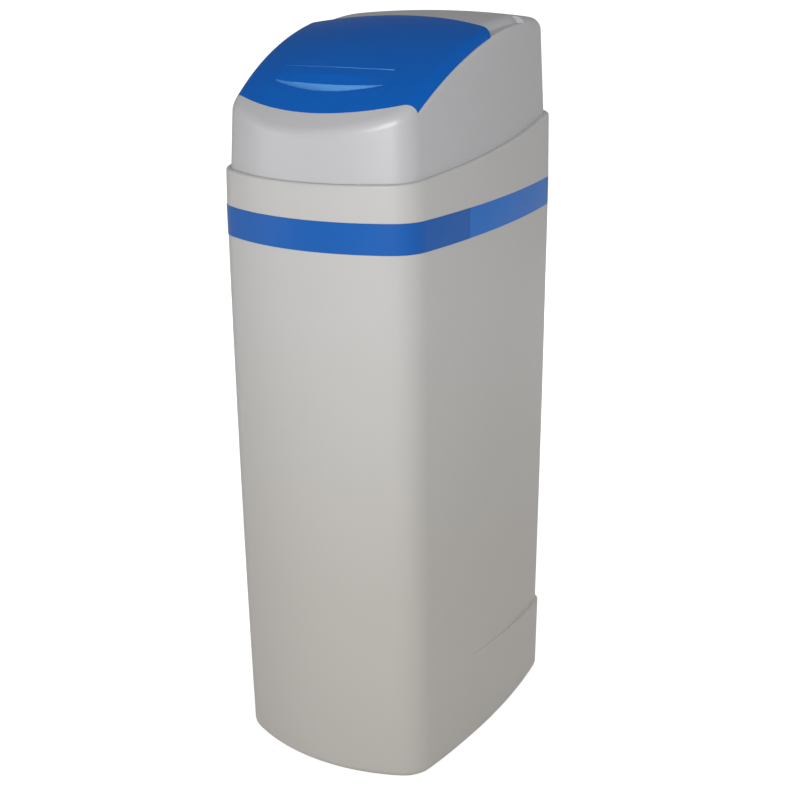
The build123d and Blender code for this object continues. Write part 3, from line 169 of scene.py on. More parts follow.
# what each finish gives the eye stands above its row; tool textures are really finer than
# half a millimetre and are drawn at 0.8 mm and more, so that they show
finishes = {
    # wound glass fibre in epoxy: dark blue, a half gloss with the strands' low waves
    "vessel": {"name": "wound glass fibre in epoxy, dark blue", "colour": "#1d2f4f", "second": "#243a5e",
               "roughness": 0.35, "grainMm": 2.5, "grainHeightMm": 0.15},
    # cast rubber: black, dull, faintly pitted
    "vessel_foot": {"name": "cast rubber, black", "colour": "#141416", "roughness": 0.6, "grainMm": 1.0,
                    "grainHeightMm": 0.03},
    # polystyrene beads: amber, each bead catches its own light
    "resin": {"name": "ion exchange beads, amber", "colour": "#8c5a1e", "second": "#a06a28",
              "roughness": 0.4, "grainMm": 0.8, "grainHeightMm": 0.4, "cloudMm": 3},
    # extruded PVC: off-white with a smooth even sheen
    "pvc_pipe": {"name": "extruded PVC, off-white", "colour": "#dcdcd8", "roughness": 0.35,
                 "grainMm": 2.0, "grainHeightMm": 0.01, "ior": 1.53},
    # moulded polypropylene: milky, slightly waxy
    "strainer": {"name": "moulded polypropylene, natural", "colour": "#d0cfc8", "roughness": 0.45,
                 "grainMm": 1.0, "grainHeightMm": 0.02, "ior": 1.49},
    # glass filled nylon: black with a faint dry mottle
    "valve_plastic": {"name": "glass filled nylon, black", "colour": "#1b1c1e", "second": "#202124",
                      "roughness": 0.42, "grainMm": 0.8, "grainHeightMm": 0.03, "cloudMm": 12,
                      "ior": 1.53},
    # moulded acetal: mid grey, slightly silky
    "spacer_plastic": {"name": "moulded acetal, grey", "colour": "#55585b", "roughness": 0.45,
                       "grainMm": 1.0, "grainHeightMm": 0.02, "ior": 1.48},
    # ground and polished plastic: almost black, a tight highlight
    "piston": {"name": "polished PPO, black", "colour": "#161718", "roughness": 0.22, "grainMm": 2.0,
               "grainHeightMm": 0.005},
    # moulded ABS with a spark eroded face: flat mid grey
    "bracket": {"name": "moulded ABS, mid grey", "colour": "#6c7073", "roughness": 0.45, "grainMm": 0.9,
                "grainHeightMm": 0.03},
    # turned stainless steel: bright with fine turning marks
    "screw": {"name": "stainless steel, turned", "colour": "#b8b9bb", "roughness": 0.3,
              "metallic": 1.0, "grainMm": 0.6, "grainHeightMm": 0.01},
    # zinc plated drawn steel: cool grey, soft cloudy reflections
    "motor": {"name": "zinc plated steel, drawn", "colour": "#b4b8bc", "second": "#a5a9ad",
              "roughness": 0.36, "metallic": 1.0, "grainMm": 0.7, "grainHeightMm": 0.01, "cloudMm": 8},
    # natural acetal: warm white, slightly glossy teeth
    "gear": {"name": "moulded acetal, natural", "colour": "#e4e1d6", "roughness": 0.32, "grainMm": 1.5,
             "grainHeightMm": 0.01, "ior": 1.48},
    # spark eroded ABS: charcoal, a dry even grain
    "cover": {"name": "textured ABS, charcoal", "colour": "#222326", "second": "#26272a",
              "roughness": 0.48, "grainMm": 0.8, "grainHeightMm": 0.05},
    # solder mask over glass epoxy: deep green, wet looking
    "board": {"name": "glass epoxy with green mask", "colour": "#0f5a30", "second": "#0c4c29",
              "roughness": 0.35, "grainMm": 3.0, "grainHeightMm": 0.02, "cloudMm": 6},
    # cast silicone: soft grey, no sharp highlight
    "button": {"name": "cast silicone, grey", "colour": "#8f9498", "roughness": 0.55, "grainMm": 0.8,
               "grainHeightMm": 0.02, "ior": 1.41},
    # moulded polypropylene: black, a soft oily sheen
    "fitting": {"name": "moulded polypropylene, black", "colour": "#1c1d1f", "roughness": 0.38,
                "grainMm": 0.8, "grainHeightMm": 0.02, "ior": 1.49},
    # moulded nylon: signal red, smooth
    "handle": {"name": "moulded nylon, red", "colour": "#b3231c", "second": "#a91f19", "roughness": 0.3,
               "grainMm": 1.5, "grainHeightMm": 0.01, "ior": 1.53},
    # moulded polypropylene: white, fine tool marks
    "meter": {"name": "moulded polypropylene, white", "colour": "#d9d8d4", "roughness": 0.4,
              "grainMm": 1.0, "grainHeightMm": 0.02, "ior": 1.49},
    # extruded polyethylene: milky, a long soft highlight along the tube
    "hose": {"name": "extruded polyethylene, milky", "colour": "#dfe0dc", "second": "#d3d5d1",
             "roughness": 0.28, "grainMm": 4.0, "grainHeightMm": 0.02, "cloudMm": 20, "ior": 1.51},
    # extruded PVC: white with faint draw marks
    "well": {"name": "extruded PVC, white", "colour": "#dddcd8", "roughness": 0.4, "grainMm": 1.4,
             "grainHeightMm": 0.02, "ior": 1.53},
    # closed cell foam: white, visibly beaded and dull
    "float": {"name": "closed cell foam, white", "colour": "#e9e8e3", "roughness": 0.8, "grainMm": 2.2,
              "grainHeightMm": 0.25},
    # moulded nitrile ball: pale grey, smooth
    "ball": {"name": "polished nylon, pale grey", "colour": "#c9ced2", "roughness": 0.25,
             "grainMm": 2.0, "grainHeightMm": 0.005},
}

# small prints and screen parts that only this file makes
# pad printed ink: matt white and quite flat
inkWhite = {"colour": "#e6e7e8", "roughness": 0.5, "grainMm": 1.0, "grainHeightMm": 0.005}
# reflective liquid crystal display: grey green, even, no glare of its own
screenGlow = {"colour": "#93a284", "second": "#8b9a7c", "roughness": 0.4, "grainMm": 3.0,
              "grainHeightMm": 0.003, "cloudMm": 30}
# its switched segments: almost black with a trace of green
screenInk = {"colour": "#1e2620", "roughness": 0.4, "grainMm": 2.0, "grainHeightMm": 0.002}


def clearWindow():
    # clear acrylic window, polished both sides
    material, tree, shader = newMaterial("clear acrylic")
    shader.inputs["Base Color"].default_value = hexColour("#dfe6e2")
    shader.inputs["Roughness"].default_value = 0.05
    shader.inputs["IOR"].default_value = 1.49
    shader.inputs["Transmission Weight"].default_value = 0.92
    noiseBump(tree, shader, 12, 0.002)
    return material


slotMaterials = {
    "cabinet_shell": polyethylene(),
    "hood_shell": mouldedPlastic("moulded ABS, satin light grey", hoodShell),
    "blue_lid": mouldedPlastic("moulded ABS, gloss blue", blueLid),
    "blue_trim": mouldedPlastic("vinyl trim, blue", blueTrim),
    "display": clearWindow(),
}
for slotName, values in finishes.items():
    slotMaterials[slotName] = mouldedPlastic(values["name"], values)
for part in frame["record"]["subparts"]:
    dress(part["node"], slotMaterials[part["material_slot"]])
# the rear length's lighter blue is partly painted light on the cabinet's side
dress("stripe_rear", mouldedPlastic("vinyl trim, blue, rear length, painted lighter", rearTrimPaintedLighter))
print("materials:", len(slotMaterials))
whitePrint = mouldedPlastic("pad print, white", inkWhite)
screenBack = mouldedPlastic("reflective screen, grey green", screenGlow)
screenDark = mouldedPlastic("liquid crystal, dark", screenInk)


def formAt(form, matrix):
    points, faces = form
    return [tuple(matrix @ Vector(p)) for p in points], faces


def joinForms(forms):
    points, faces = [], []
    for formPoints, formFaces in forms:
        start = len(points)
        points += formPoints
        faces += [[start + i for i in face] for face in formFaces]
    return points, faces


def turnedForm(profile, count=48):
    # closed outline of radius and height, turned about the local Z axis
    n = len(profile)
    angles = [2 * math.pi * i / count for i in range(count)]
    points = [(r * mm * math.cos(a), r * mm * math.sin(a), h * mm) for a in angles for r, h in profile]
    faces = []
    for i in range(count):
        j = (i + 1) % count
        faces += [[i * n + k, j * n + k, j * n + (k + 1) % n, i * n + (k + 1) % n] for k in range(n)]
    return points, faces


def prismForm(outline, low, high):
    n = len(outline)
    points = [(x * mm, y * mm, low * mm) for x, y in outline]
    points += [(x * mm, y * mm, high * mm) for x, y in outline]
    sides = [[i, (i + 1) % n, n + (i + 1) % n, n + i] for i in range(n)]
    return points, [list(range(n))[::-1], list(range(n, 2 * n))] + sides


def bandForm(inner, outer, low, high):
    # prism between two outlines of as many points, such as a nut with its bore
    n = len(inner)
    points = [(x * mm, y * mm, z * mm) for z in (low, high) for ring in (inner, outer) for x, y in ring]
    faces = []
    for i in range(n):
        j = (i + 1) % n
        faces += [[i, j, n + j, n + i], [2 * n + i, 3 * n + i, 3 * n + j, 2 * n + j],
                  [n + i, n + j, 3 * n + j, 3 * n + i], [j, i, 2 * n + i, 2 * n + j]]
    return points, faces


def arcForm(inner, outer, low, high, fromDeg, toDeg, count=28):
    # part of a flat ring with closed ends
    points = []
    for i in range(count + 1):
        a = math.radians(fromDeg + (toDeg - fromDeg) * i / count)
        points += [(r * mm * math.cos(a), r * mm * math.sin(a), z * mm)
                   for r, z in ((inner, low), (outer, low), (outer, high), (inner, high))]
    faces = [[0, 1, 2, 3], [4 * count + k for k in (3, 2, 1, 0)]]
    for i in range(count):
        faces += [[4 * i + k, 4 * i + 4 + k, 4 * i + 4 + (k + 1) % 4, 4 * i + (k + 1) % 4]
                  for k in range(4)]
    return points, faces


def threadForm(radius, rise, pitch, length, steps=40):
    # one helical ridge that fades into the tube at both ends
    turns = int((length - pitch) / pitch * steps)
    points = []
    for i in range(turns + 1):
        a = 2 * math.pi * i / steps
        fade = min(1.0, i / steps * 3, (turns - i) / steps * 3)
        z = pitch / 2 + pitch * i / steps
        for r, dz in ((radius - 0.3, -0.38 * pitch), (radius + rise * fade, -0.07 * pitch),
                      (radius + rise * fade, 0.07 * pitch), (radius - 0.3, 0.38 * pitch)):
            points.append((r * mm * math.cos(a), r * mm * math.sin(a), (z + dz) * mm))
    faces = [[0, 1, 2, 3], [4 * turns + k for k in (3, 2, 1, 0)]]
    for i in range(turns):
        faces += [[4 * i + k, 4 * i + 4 + k, 4 * i + 4 + (k + 1) % 4, 4 * i + (k + 1) % 4]
                  for k in range(4)]
    return points, faces


def along(place, axis, turn=0.0):
    # local Z laid along an axis at a place in millimetres
    facing = Vector(axis).to_track_quat("Z", "Y").to_matrix().to_4x4()
    return Matrix.Translation(Vector(place) * mm) @ facing @ Matrix.Rotation(math.radians(turn), 4, "Z")


def polygon(radius, count, turn=0.0):
    return [(radius * math.cos(math.radians(turn + 360 * i / count)),
             radius * math.sin(math.radians(turn + 360 * i / count))) for i in range(count)]


def addPiece(name, form, material, body, bevelMm=0.0):
    points, faces = form
    mesh = bpy.data.meshes.new(name)
    mesh.from_pydata(points, [], faces)
    work = bmesh.new()
    work.from_mesh(mesh)
    bmesh.ops.remove_doubles(work, verts=work.verts, dist=0.002 * mm)
    bmesh.ops.recalc_face_normals(work, faces=work.faces)
    if bevelMm:
        edges = [e for e in work.edges if e.calc_face_angle(0) > math.radians(30)]
        bmesh.ops.bevel(work, geom=edges, offset=bevelMm * mm, segments=2, affect="EDGES", profile=0.5)
    work.to_mesh(mesh)
    work.free()
    mesh.shade_smooth()
    mesh.set_sharp_from_angle(angle=math.radians(32))
    mesh.materials.append(material)
    piece = bpy.data.objects.new(name, mesh)
    scene.collection.objects.link(piece)
    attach(piece, body)
    return piece


# outlet at the rear: pipe tails, union nuts and the valve's collar
pipework = {
    "portX": 44.0, "portZ": 955.0, "tailRadius": 16.6, "threadFrom": 238.0, "threadLength": 23.0,
    "threadPitch": 2.3, "threadRise": 0.6, "nutFlat": 24.9, "nutFrom": 153.5, "nutLength": 19.0,
    "gripWidth": 2.2, "gripRise": 0.9, "gripPitch": 4.6, "collarRadius": 52.0, "collarY": 86.0,
    "collarFrom": 906.5, "collarHeight": 15.0, "collarGrips": 40,
}


def makePipework():
    v = pipework
    threads, grips = [], []
    bar = [(-v["gripWidth"] / 2, -0.3), (v["gripWidth"] / 2, -0.3), (v["gripWidth"] / 4, v["gripRise"]),
           (-v["gripWidth"] / 4, v["gripRise"])]
    for x in (-v["portX"], v["portX"]):
        ridge = threadForm(v["tailRadius"], v["threadRise"], v["threadPitch"], v["threadLength"])
        threads.append(formAt(ridge, along((x, v["threadFrom"], v["portZ"]), (0, 1, 0))))
        axis = along((x, v["nutFrom"], v["portZ"]), (0, 1, 0))
        for flat in range(8):
            lay = axis @ Matrix.Rotation(math.radians(22.5 + 45 * flat), 4, "Z")
            for shift in (-1, 0, 1):
                place = Matrix.Translation((shift * v["gripPitch"] * mm, v["nutFlat"] * mm, 0))
                grips.append(formAt(prismForm(bar, 0, v["nutLength"]), lay @ place))
    addPiece("tail_threads", joinForms(threads), slotMaterials["valve_plastic"], "cabinet")
    addPiece("union_nut_grips", joinForms(grips), slotMaterials["fitting"], "cabinet")
    rib = [(-1.1, -0.4), (1.1, -0.4), (0.5, 0.8), (-0.5, 0.8)]
    ribs = []
    for i in range(v["collarGrips"]):
        turn = Matrix.Rotation(2 * math.pi * i / v["collarGrips"], 4, "Z")
        place = Matrix.Translation((0, v["collarRadius"] * mm, 0))
        middle = Matrix.Translation((0, v["collarY"] * mm, v["collarFrom"] * mm))
        ribs.append(formAt(prismForm(rib, 0, v["collarHeight"]), middle @ turn @ place))
    addPiece("neck_collar_grips", joinForms(ribs), slotMaterials["valve_plastic"], "cabinet")


# quarter turn handles: a flow arrow let into the bar and the screw that holds it
rotorHandle = {"x": 44.0, "y": 200.0, "topZ": 1008.3, "arrowLength": 18.0, "arrowWidth": 3.0,
               "arrowHead": 8.0, "screwRadius": 3.6, "arrowFrom": 5.5}


def makeHandles():
    v = rotorHandle
    tip = v["arrowFrom"] + v["arrowLength"]
    neck = tip - v["arrowHead"]
    half, wide = v["arrowWidth"] / 2, v["arrowWidth"] * 1.5
    arrow = [(-half, v["arrowFrom"]), (half, v["arrowFrom"]), (half, neck), (wide, neck), (0, tip),
             (-wide, neck), (-half, neck)]
    tail = [(-half, -tip), (half, -tip), (half, -v["arrowFrom"]), (-half, -v["arrowFrom"])]
    r = v["screwRadius"]
    head = turnedForm([(0, -0.4), (r, -0.4), (r, 0.9), (r - 0.9, 1.7), (1.5, 1.9), (1.4, 0.5), (0, 0.5)], 36)
    for name, x, heading in (("inlet", -v["x"], math.pi), ("outlet", v["x"], 0)):
        place = Matrix.Translation((x * mm, v["y"] * mm, v["topZ"] * mm))
        turn = place @ Matrix.Rotation(heading, 4, "Z")
        marks = joinForms([formAt(prismForm(o, -0.3, 0.25), turn) for o in (arrow, tail)])
        addPiece(name + "_flow_arrow", marks, whitePrint, name + "_rotor")
        addPiece(name + "_handle_screw", formAt(head, place), slotMaterials["screw"], name + "_rotor")


# small fittings at the sides of the valve and at the overflow
sideFittings = {
    "clipX": 58.0, "clipY": 64.0, "clipZ": 946.0, "clipInner": 10.2, "clipOuter": 12.4, "clipWide": 3.0,
    "clipFromDeg": -60, "clipToDeg": 240, "earDegs": (150, 210), "earLength": 7, "earHalf": 1.2,
    "drainBarbX": 82.0, "drainBarbs": (916.0, 921.0, 926.0), "drainBarbRadius": 5.5,
    "lineX": -104.0, "lineY": 63.5, "lineNutRadius": 9.6, "lineNutLength": 12.0, "lineBore": 4.95,
    "overflowX": 108.0, "overflowY": 263.57, "overflowBarbs": (713.0, 719.5, 726.0),
    "overflowRadius": 10.0, "barbRise": 1.1, "barbHeight": 4.5,
    "motorX": -49.525, "motorZ": 1011.78, "motorRear": 78.0, "motorRadius": 15.0,
    "screwX": 86.0, "screwZ": (930.0, 1034.0), "bracketRear": 36.0, "screwRadius": 3.4,
}


def barbForms(x, y, heights, radius, v):
    # a hose barb: steep below, square above
    profile = [(radius - 0.4, 0), (radius, 0), (radius + v["barbRise"], v["barbHeight"]),
               (radius - 0.4, v["barbHeight"])]
    return [formAt(turnedForm(profile), Matrix.Translation((x * mm, y * mm, z * mm))) for z in heights]


def makeSideFittings():
    v = sideFittings
    clip = arcForm(v["clipInner"], v["clipOuter"], 0, v["clipWide"], v["clipFromDeg"], v["clipToDeg"])
    half, reach = v["earHalf"], v["earLength"]
    ear = prismForm([(-half, 0), (half, 0), (half, reach), (-half, reach)], 0, v["clipWide"])
    start = Matrix.Translation((0, v["clipInner"] * mm, 0))
    ears = [formAt(ear, Matrix.Rotation(math.radians(a), 4, "Z") @ start) for a in v["earDegs"]]
    lay = along((v["clipX"] - v["clipWide"], v["clipY"], v["clipZ"]), (1, 0, 0), 90)
    addPiece("drain_clip", formAt(joinForms([clip] + ears), lay), slotMaterials["handle"], "cabinet")
    barbs = barbForms(v["drainBarbX"], v["clipY"], v["drainBarbs"], v["drainBarbRadius"], v)
    barbs += barbForms(v["overflowX"], v["overflowY"], v["overflowBarbs"], v["overflowRadius"], v)
    addPiece("hose_barbs", joinForms(barbs), slotMaterials["fitting"], "cabinet")
    corners = polygon(v["lineNutRadius"], 6)
    outer = []
    for i, (ax, ay) in enumerate(corners):
        bx, by = corners[(i + 1) % 6]
        outer += [(ax + (bx - ax) * s / 6, ay + (by - ay) * s / 6) for s in range(6)]
    inner = polygon(v["lineBore"], 36)
    nut = bandForm(inner, outer, 0, v["lineNutLength"])
    addPiece("line_nut", formAt(nut, along((v["lineX"], v["lineY"], v["clipZ"]), (0, -1, 0))),
             slotMaterials["meter"], "cabinet", 0.4)
    r = v["motorRadius"]
    end = turnedForm([(0, -0.2), (r - 1, -0.2), (r - 1, 0.6), (r - 2.2, 1.4), (6.2, 1.4), (5.6, 3.4),
                      (3.2, 3.6), (3.0, 2.6), (0, 2.6)])
    seam = turnedForm([(r - 0.3, -8), (r + 0.35, -7.8), (r + 0.35, -5.8), (r - 0.3, -5.6)])
    tabs = [formAt(prismForm([(-1.4, -0.4), (1.4, -0.4), (1.4, 0.4), (-1.4, 0.4)], 0.8, 6.5),
                   Matrix.Translation((s * 9 * mm, 0, 0))) for s in (-1, 1)]
    lay = along((v["motorX"], v["motorRear"], v["motorZ"]), (0, 1, 0))
    addPiece("motor_end", formAt(joinForms([end, seam] + tabs), lay), slotMaterials["motor"], "cabinet")
    s = v["screwRadius"]
    head = turnedForm([(0, -0.1), (s, -0.1), (s, 0.9), (s - 0.8, 2.0), (1.5, 2.3), (1.3, 0.9), (0, 0.9)], 36)
    heads = [formAt(head, along((x, v["bracketRear"], z), (0, 1, 0)))
             for x in (-v["screwX"], v["screwX"]) for z in v["screwZ"]]
    addPiece("cover_screws", joinForms(heads), slotMaterials["screw"], "cabinet")


# display and button prints, laid on the cover's sloped front
coverFace = {"place": (0.0, -37.0, 981.0), "rise": 138.0, "run": 42.0, "screenUp": 20.0,
             "screenOut": -7.0, "screenWidth": 60.0, "screenHeight": 32.0, "digitHeight": 17.0,
             "digitWidth": 9.0, "stroke": 2.0, "buttonPitch": 26.0, "buttonUp": -25.0,
             "buttonOut": 1.2, "printRise": 0.12, "panelRise": 0.15}


def faceMatrix(right, up, out):
    v = coverFace
    length = math.hypot(v["rise"], v["run"])
    outward = Vector((0, -v["rise"], v["run"])) / length
    upward = Vector((0, v["run"], v["rise"])) / length
    origin = Vector(v["place"]) + right * Vector((1, 0, 0)) + up * upward + out * outward
    turn = Matrix((Vector((1, 0, 0)), upward, outward)).transposed().to_4x4()
    return Matrix.Translation(origin * mm) @ turn


def strokeBar(x0, y0, x1, y1, width):
    # a stroke with pointed ends, as on a seven part digit
    dx, dy = x1 - x0, y1 - y0
    length = math.hypot(dx, dy)
    ux, uy = dx / length, dy / length
    h, gap = width / 2, 0.25
    marks = [(gap, 0), (gap + h, h), (length - gap - h, h), (length - gap, 0), (length - gap - h, -h),
             (gap + h, -h)]
    return [(x0 + a * ux - b * uy, y0 + a * uy + b * ux) for a, b in marks]


def digitForms(code, x, v):
    w, h = v["digitWidth"] / 2, v["digitHeight"] / 2
    bars = {"a": (-w, h, w, h), "b": (w, h, w, 0), "c": (w, 0, w, -h), "d": (-w, -h, w, -h),
            "e": (-w, 0, -w, -h), "f": (-w, h, -w, 0), "g": (-w, 0, w, 0)}
    strokes = [strokeBar(x + ax, ay, x + bx, by, v["stroke"]) for ax, ay, bx, by in map(bars.get, code)]
    return [prismForm(outline, 0, v["printRise"]) for outline in strokes]


def makeFacePrints():
    v = coverFace
    glass = faceMatrix(0, v["screenUp"], v["screenOut"])
    w, h = v["screenWidth"] / 2, v["screenHeight"] / 2
    panel = prismForm([(-w, -h), (w, -h), (w, h), (-w, h)], -0.1, v["panelRise"])
    addPiece("screen_panel", formAt(panel, glass), screenBack, "cabinet")
    lit = glass @ Matrix.Translation((0, 0, v["panelRise"] * mm))
    clock = []
    for code, x in (("bc", -21.5), ("abged", -8.5), ("abcdef", 8.5), ("abcdef", 21.5)):
        clock += digitForms(code, x, v)
    dot = polygon(1.1, 12)
    clock += [prismForm([(px, py + y) for px, py in dot], 0, v["printRise"]) for y in (-4, 4)]
    addPiece("screen_digits", formAt(joinForms(clock), lit), screenDark, "cabinet")
    up = [(-2.6, -1.6), (2.6, -1.6), (0, 2.2)]
    down = [(-x, -y) for x, y in up]
    bars = [[(-3, y - 0.4), (3, y - 0.4), (3, y + 0.4), (-3, y + 0.4)] for y in (-1.8, 0, 1.8)]
    rise = v["printRise"]
    turnArrow = [arcForm(1.7, 2.5, -0.1, rise, 60, 350),
                 prismForm([(0.9, -0.6), (3.3, -0.6), (2.1, 1.4)], -0.1, rise)]
    target = [arcForm(1.6, 2.5, -0.1, rise, 0, 359.5, 36), prismForm(polygon(0.7, 16), -0.1, rise)]
    marks = {"menu_button": [prismForm(b, -0.1, rise) for b in bars],
             "down_button": [prismForm(down, -0.1, rise)],
             "regenerate_button": turnArrow,
             "up_button": [prismForm(up, -0.1, rise)],
             "set_button": target}
    for i, (name, forms) in enumerate(marks.items()):
        place = faceMatrix((i - 2) * v["buttonPitch"], v["buttonUp"], v["buttonOut"])
        addPiece(name.replace("button", "mark"), formAt(joinForms(forms), place), whitePrint, name)


# finger recess of the lid: a moulded face with a steep front wall, and a thin bead behind it.
# leanShare is the cosine of the lid's lean there, and the steps cut the front border, the wall,
# the floor, the land, the bead and the rear border
fingerGrip = {
    "axisY": 128.2, "axisZ": 580.3, "lidRadius": 528.3, "footY": -155.7, "halfLength": 90.0,
    "halfWidth": 102.0, "depth": 4.2, "wallRun": 18.5, "floorRun": 16.0, "beadAt": 33.0,
    "beadHalf": 1.5, "beadRise": 0.17, "clear": 0.1, "lift": 0.06, "sink": 0.3, "fade": 15.0,
    "frontRun": 45.5, "frontCurve": 321.0, "rearRun": 46.0, "thickness": 0.8, "columns": 130,
    "leanShare": 0.82, "rayFrom": 20.0, "steps": (12, 8, 12, 8, 8, 6), "facing": 0.05,
    "facingInset": 8, "shadeFade": 4, "underside": 0.3,
}


def frontReach(x):
    # the face stays behind the lid's curved front edge
    v = fingerGrip
    return v["frontRun"] - x * x / (2 * v["frontCurve"] * v["leanShare"])


def gripLevel(x, s):
    # 0 at the face's border, where it dips into the lid, and 1 inside
    v = fingerGrip
    edge = min(v["halfWidth"] - abs(x), s + frontReach(x), v["rearRun"] - s) / v["fade"]
    level = min(1.0, max(0.0, edge))
    return level * level * (3 - 2 * level)


def gripRise(x, s):
    # height over the lid's round at x, and at s along the round from the foot of the wall
    v = fingerGrip
    bow = max(0.0, 1 - (x / v["halfLength"]) ** 2)
    share = 1 + s / max(v["wallRun"] * bow, 0.01) if s <= 0 else 1 - s / v["floorRun"]
    across = max(0.0, 1 - ((s - v["beadAt"]) / v["beadHalf"]) ** 2)
    bead = v["beadRise"] * across * max(0.0, 1 - (x / v["halfLength"]) ** 4)
    return v["lift"] + bead - v["depth"] * bow * max(0.0, share)


def evenSteps(low, high, count):
    return [low + (high - low) * i / count for i in range(count)]


def closedSheet(top, low, rows, columns):
    # two like grids of points, one under the other, joined round the border
    half = len(top)
    faces = []
    for i in range(columns - 1):
        for k in range(rows - 1):
            a, b = i * rows + k, (i + 1) * rows + k
            faces += [[a, b, b + 1, a + 1], [half + a, half + a + 1, half + b + 1, half + b]]
        for k in (0, rows - 1):
            a, b = i * rows + k, (i + 1) * rows + k
            faces.append([a, b, half + b, half + a])
    for i in (0, columns - 1):
        for k in range(rows - 1):
            a = i * rows + k
            faces.append([a, a + 1, half + a + 1, half + a])
    return [tuple(p) for p in list(top) + list(low)], faces


def makeFingerGrip():
    v = fingerGrip
    lean = math.asin((v["axisY"] - v["footY"]) / v["lidRadius"])
    beadFrom, beadTo = v["beadAt"] - v["beadHalf"], v["beadAt"] + v["beadHalf"]
    lid = nodes["salt_lid"].data
    lidFaces = BVHTree.FromPolygons([p.co for p in lid.vertices], [list(f.vertices) for f in lid.polygons])
    rayFrom = (v["lidRadius"] + v["rayFrom"]) * mm
    skins, outwards = [[], []], []
    for i in range(v["columns"] + 1):
        x = v["halfWidth"] * (2 * i / v["columns"] - 1)
        rim = -max(1.0, v["wallRun"] * (1 - (x / v["halfLength"]) ** 2))
        ends = (-frontReach(x), rim, 0, v["floorRun"], beadFrom, beadTo, v["rearRun"])
        stations = [s for k, count in enumerate(v["steps"]) for s in evenSteps(ends[k], ends[k + 1], count)]
        stations.append(v["rearRun"])
        for s in stations:
            angle = lean - s / v["lidRadius"]
            outward = Vector((0, -math.sin(angle), math.cos(angle)))
            middle = Vector((x, v["axisY"], v["axisZ"])) * mm
            hit = lidFaces.ray_cast(middle + outward * rayFrom, -outward)[0]
            lidRound = (hit - middle).length / mm
            level = gripLevel(x, s)
            top = level * (v["lidRadius"] + gripRise(x, s)) + (1 - level) * (lidRound - v["sink"])
            if level == 1.0:
                top = max(top, lidRound + v["clear"])
            outwards.append(outward)
            for skin, drop in zip(skins, (0.0, v["thickness"])):
                skin.append(tuple(middle + outward * (top - drop) * mm))
    rows, columns = len(stations), v["columns"] + 1
    piece = addPiece("lid_finger_grip", closedSheet(skins[0], skins[1], rows, columns),
                     slotMaterials["blue_lid"], "salt_lid")
    # the border takes the lid's own shading, so no line shows where the face begins, and the
    # underside keeps its own
    shading = []
    for point in piece.data.vertices:
        x, y, z = (c / mm for c in point.co)
        angle = math.atan2(v["axisY"] - y, z - v["axisZ"])
        level = gripLevel(x, (lean - angle) * v["lidRadius"])
        outward = Vector((0, -math.sin(angle), math.cos(angle)))
        share = level ** v["shadeFade"] if point.normal.dot(outward) > v["underside"] else 1.0
        shading.append(outward.lerp(point.normal, share).normalized())
    piece.data.normals_split_custom_set_from_vertices(shading)
    # thin facings on the front wall and on the bead
    facings = []
    inset = v["facingInset"]
    for name, section in (("lid_grip_wall", 1), ("lid_grip_bead", 4)):
        firstRow = sum(v["steps"][:section])
        lastRow = firstRow + v["steps"][section]
        picked = [i * rows + k for i in range(inset, columns - inset) for k in range(firstRow, lastRow + 1)]
        raised = [Vector(skins[0][p]) + outwards[p] * v["facing"] * mm for p in picked]
        sunk = [Vector(skins[0][p]) - outwards[p] * 4 * v["facing"] * mm for p in picked]
        sheet = closedSheet(raised, sunk, lastRow - firstRow + 1, columns - 2 * inset)
        facings.append(addPiece(name, sheet, slotMaterials["blue_lid"], "salt_lid"))
    return facings


makePipework()
makeHandles()
makeSideFittings()
makeFacePrints()
gripFacings = makeFingerGrip()
print("small pieces made")


# the photograph's viewpoint, in metres, degrees and millimetres
cameraView = {
    "place": (1.0348, -1.7148, 1.2191),
    "heading": 32.42,
    "down": 17.48,
    "roll": -0.94,
    "lens": 61.13,
    "shift": 0.05,
}


def makeCamera():
    v = cameraView
    data = bpy.data.cameras.new("camera")
    data.sensor_width = 36
    data.lens = v["lens"]
    data.shift_x = v["shift"]
    data.shift_y = -v["shift"]
    camera = bpy.data.objects.new("camera", data)
    scene.collection.objects.link(camera)
    turn = Matrix.Rotation(math.radians(v["heading"]), 4, "Z")
    tilt = Matrix.Rotation(math.radians(90 - v["down"]), 4, "X")
    roll = Matrix.Rotation(math.radians(v["roll"]), 4, "Z")
    camera.matrix_world = Matrix.Translation(v["place"]) @ turn @ tilt @ roll
    scene.camera = camera


# soft studio lamps in metres and watts
softLight = {
    "key": {"place": (1.18, -2.6, 1.75), "aim": (0, 0, 0.62), "size": (1.1, 1.1), "watts": 54},
    "left": {"place": (-2.6, -2.2, 1.2), "aim": (0, 0, 0.6), "size": (1.6, 1.6), "watts": 13},
    "rear": {"place": (1.25, 2.9, 1.8), "aim": (0, 0, 0.55), "size": (2.0, 1.6), "watts": 28},
    "back": {"place": (-0.7, 3.1, 1.5), "aim": (0, 0, 0.5), "size": (1.8, 1.4), "watts": 26},
}
room = {"strength": 0.265, "backdrop": 1.0, "mirrored": 0.28, "ceiling": 0.08, "backdropTop": 0.05,
        "ceilingFrom": 0.45}
floorLook = {"colour": "#dcdcdc", "nearGlow": 0.68, "farGlow": 0.98, "nearMm": 700, "farMm": 4000,
             "mirrored": 0.2}


# a bright patch of ceiling that only the recess's wall and bead mirror
recessShine = {"place": (-0.60, 0.71, 1.91), "aim": (0, -0.166, 1.018), "size": (0.45, 0.22), "watts": 2.9,
               "colour": "#82cdff"}


def addLamp(name, v):
    data = bpy.data.lights.new(name, "AREA")
    data.shape = "RECTANGLE"
    data.size, data.size_y = v["size"]
    data.energy = v["watts"]
    lamp = bpy.data.objects.new(name, data)
    lamp.location = v["place"]
    aim = Vector(v["aim"]) - Vector(v["place"])
    lamp.rotation_euler = aim.to_track_quat("-Z", "Y").to_euler()
    lamp.visible_camera = False
    scene.collection.objects.link(lamp)
    return lamp


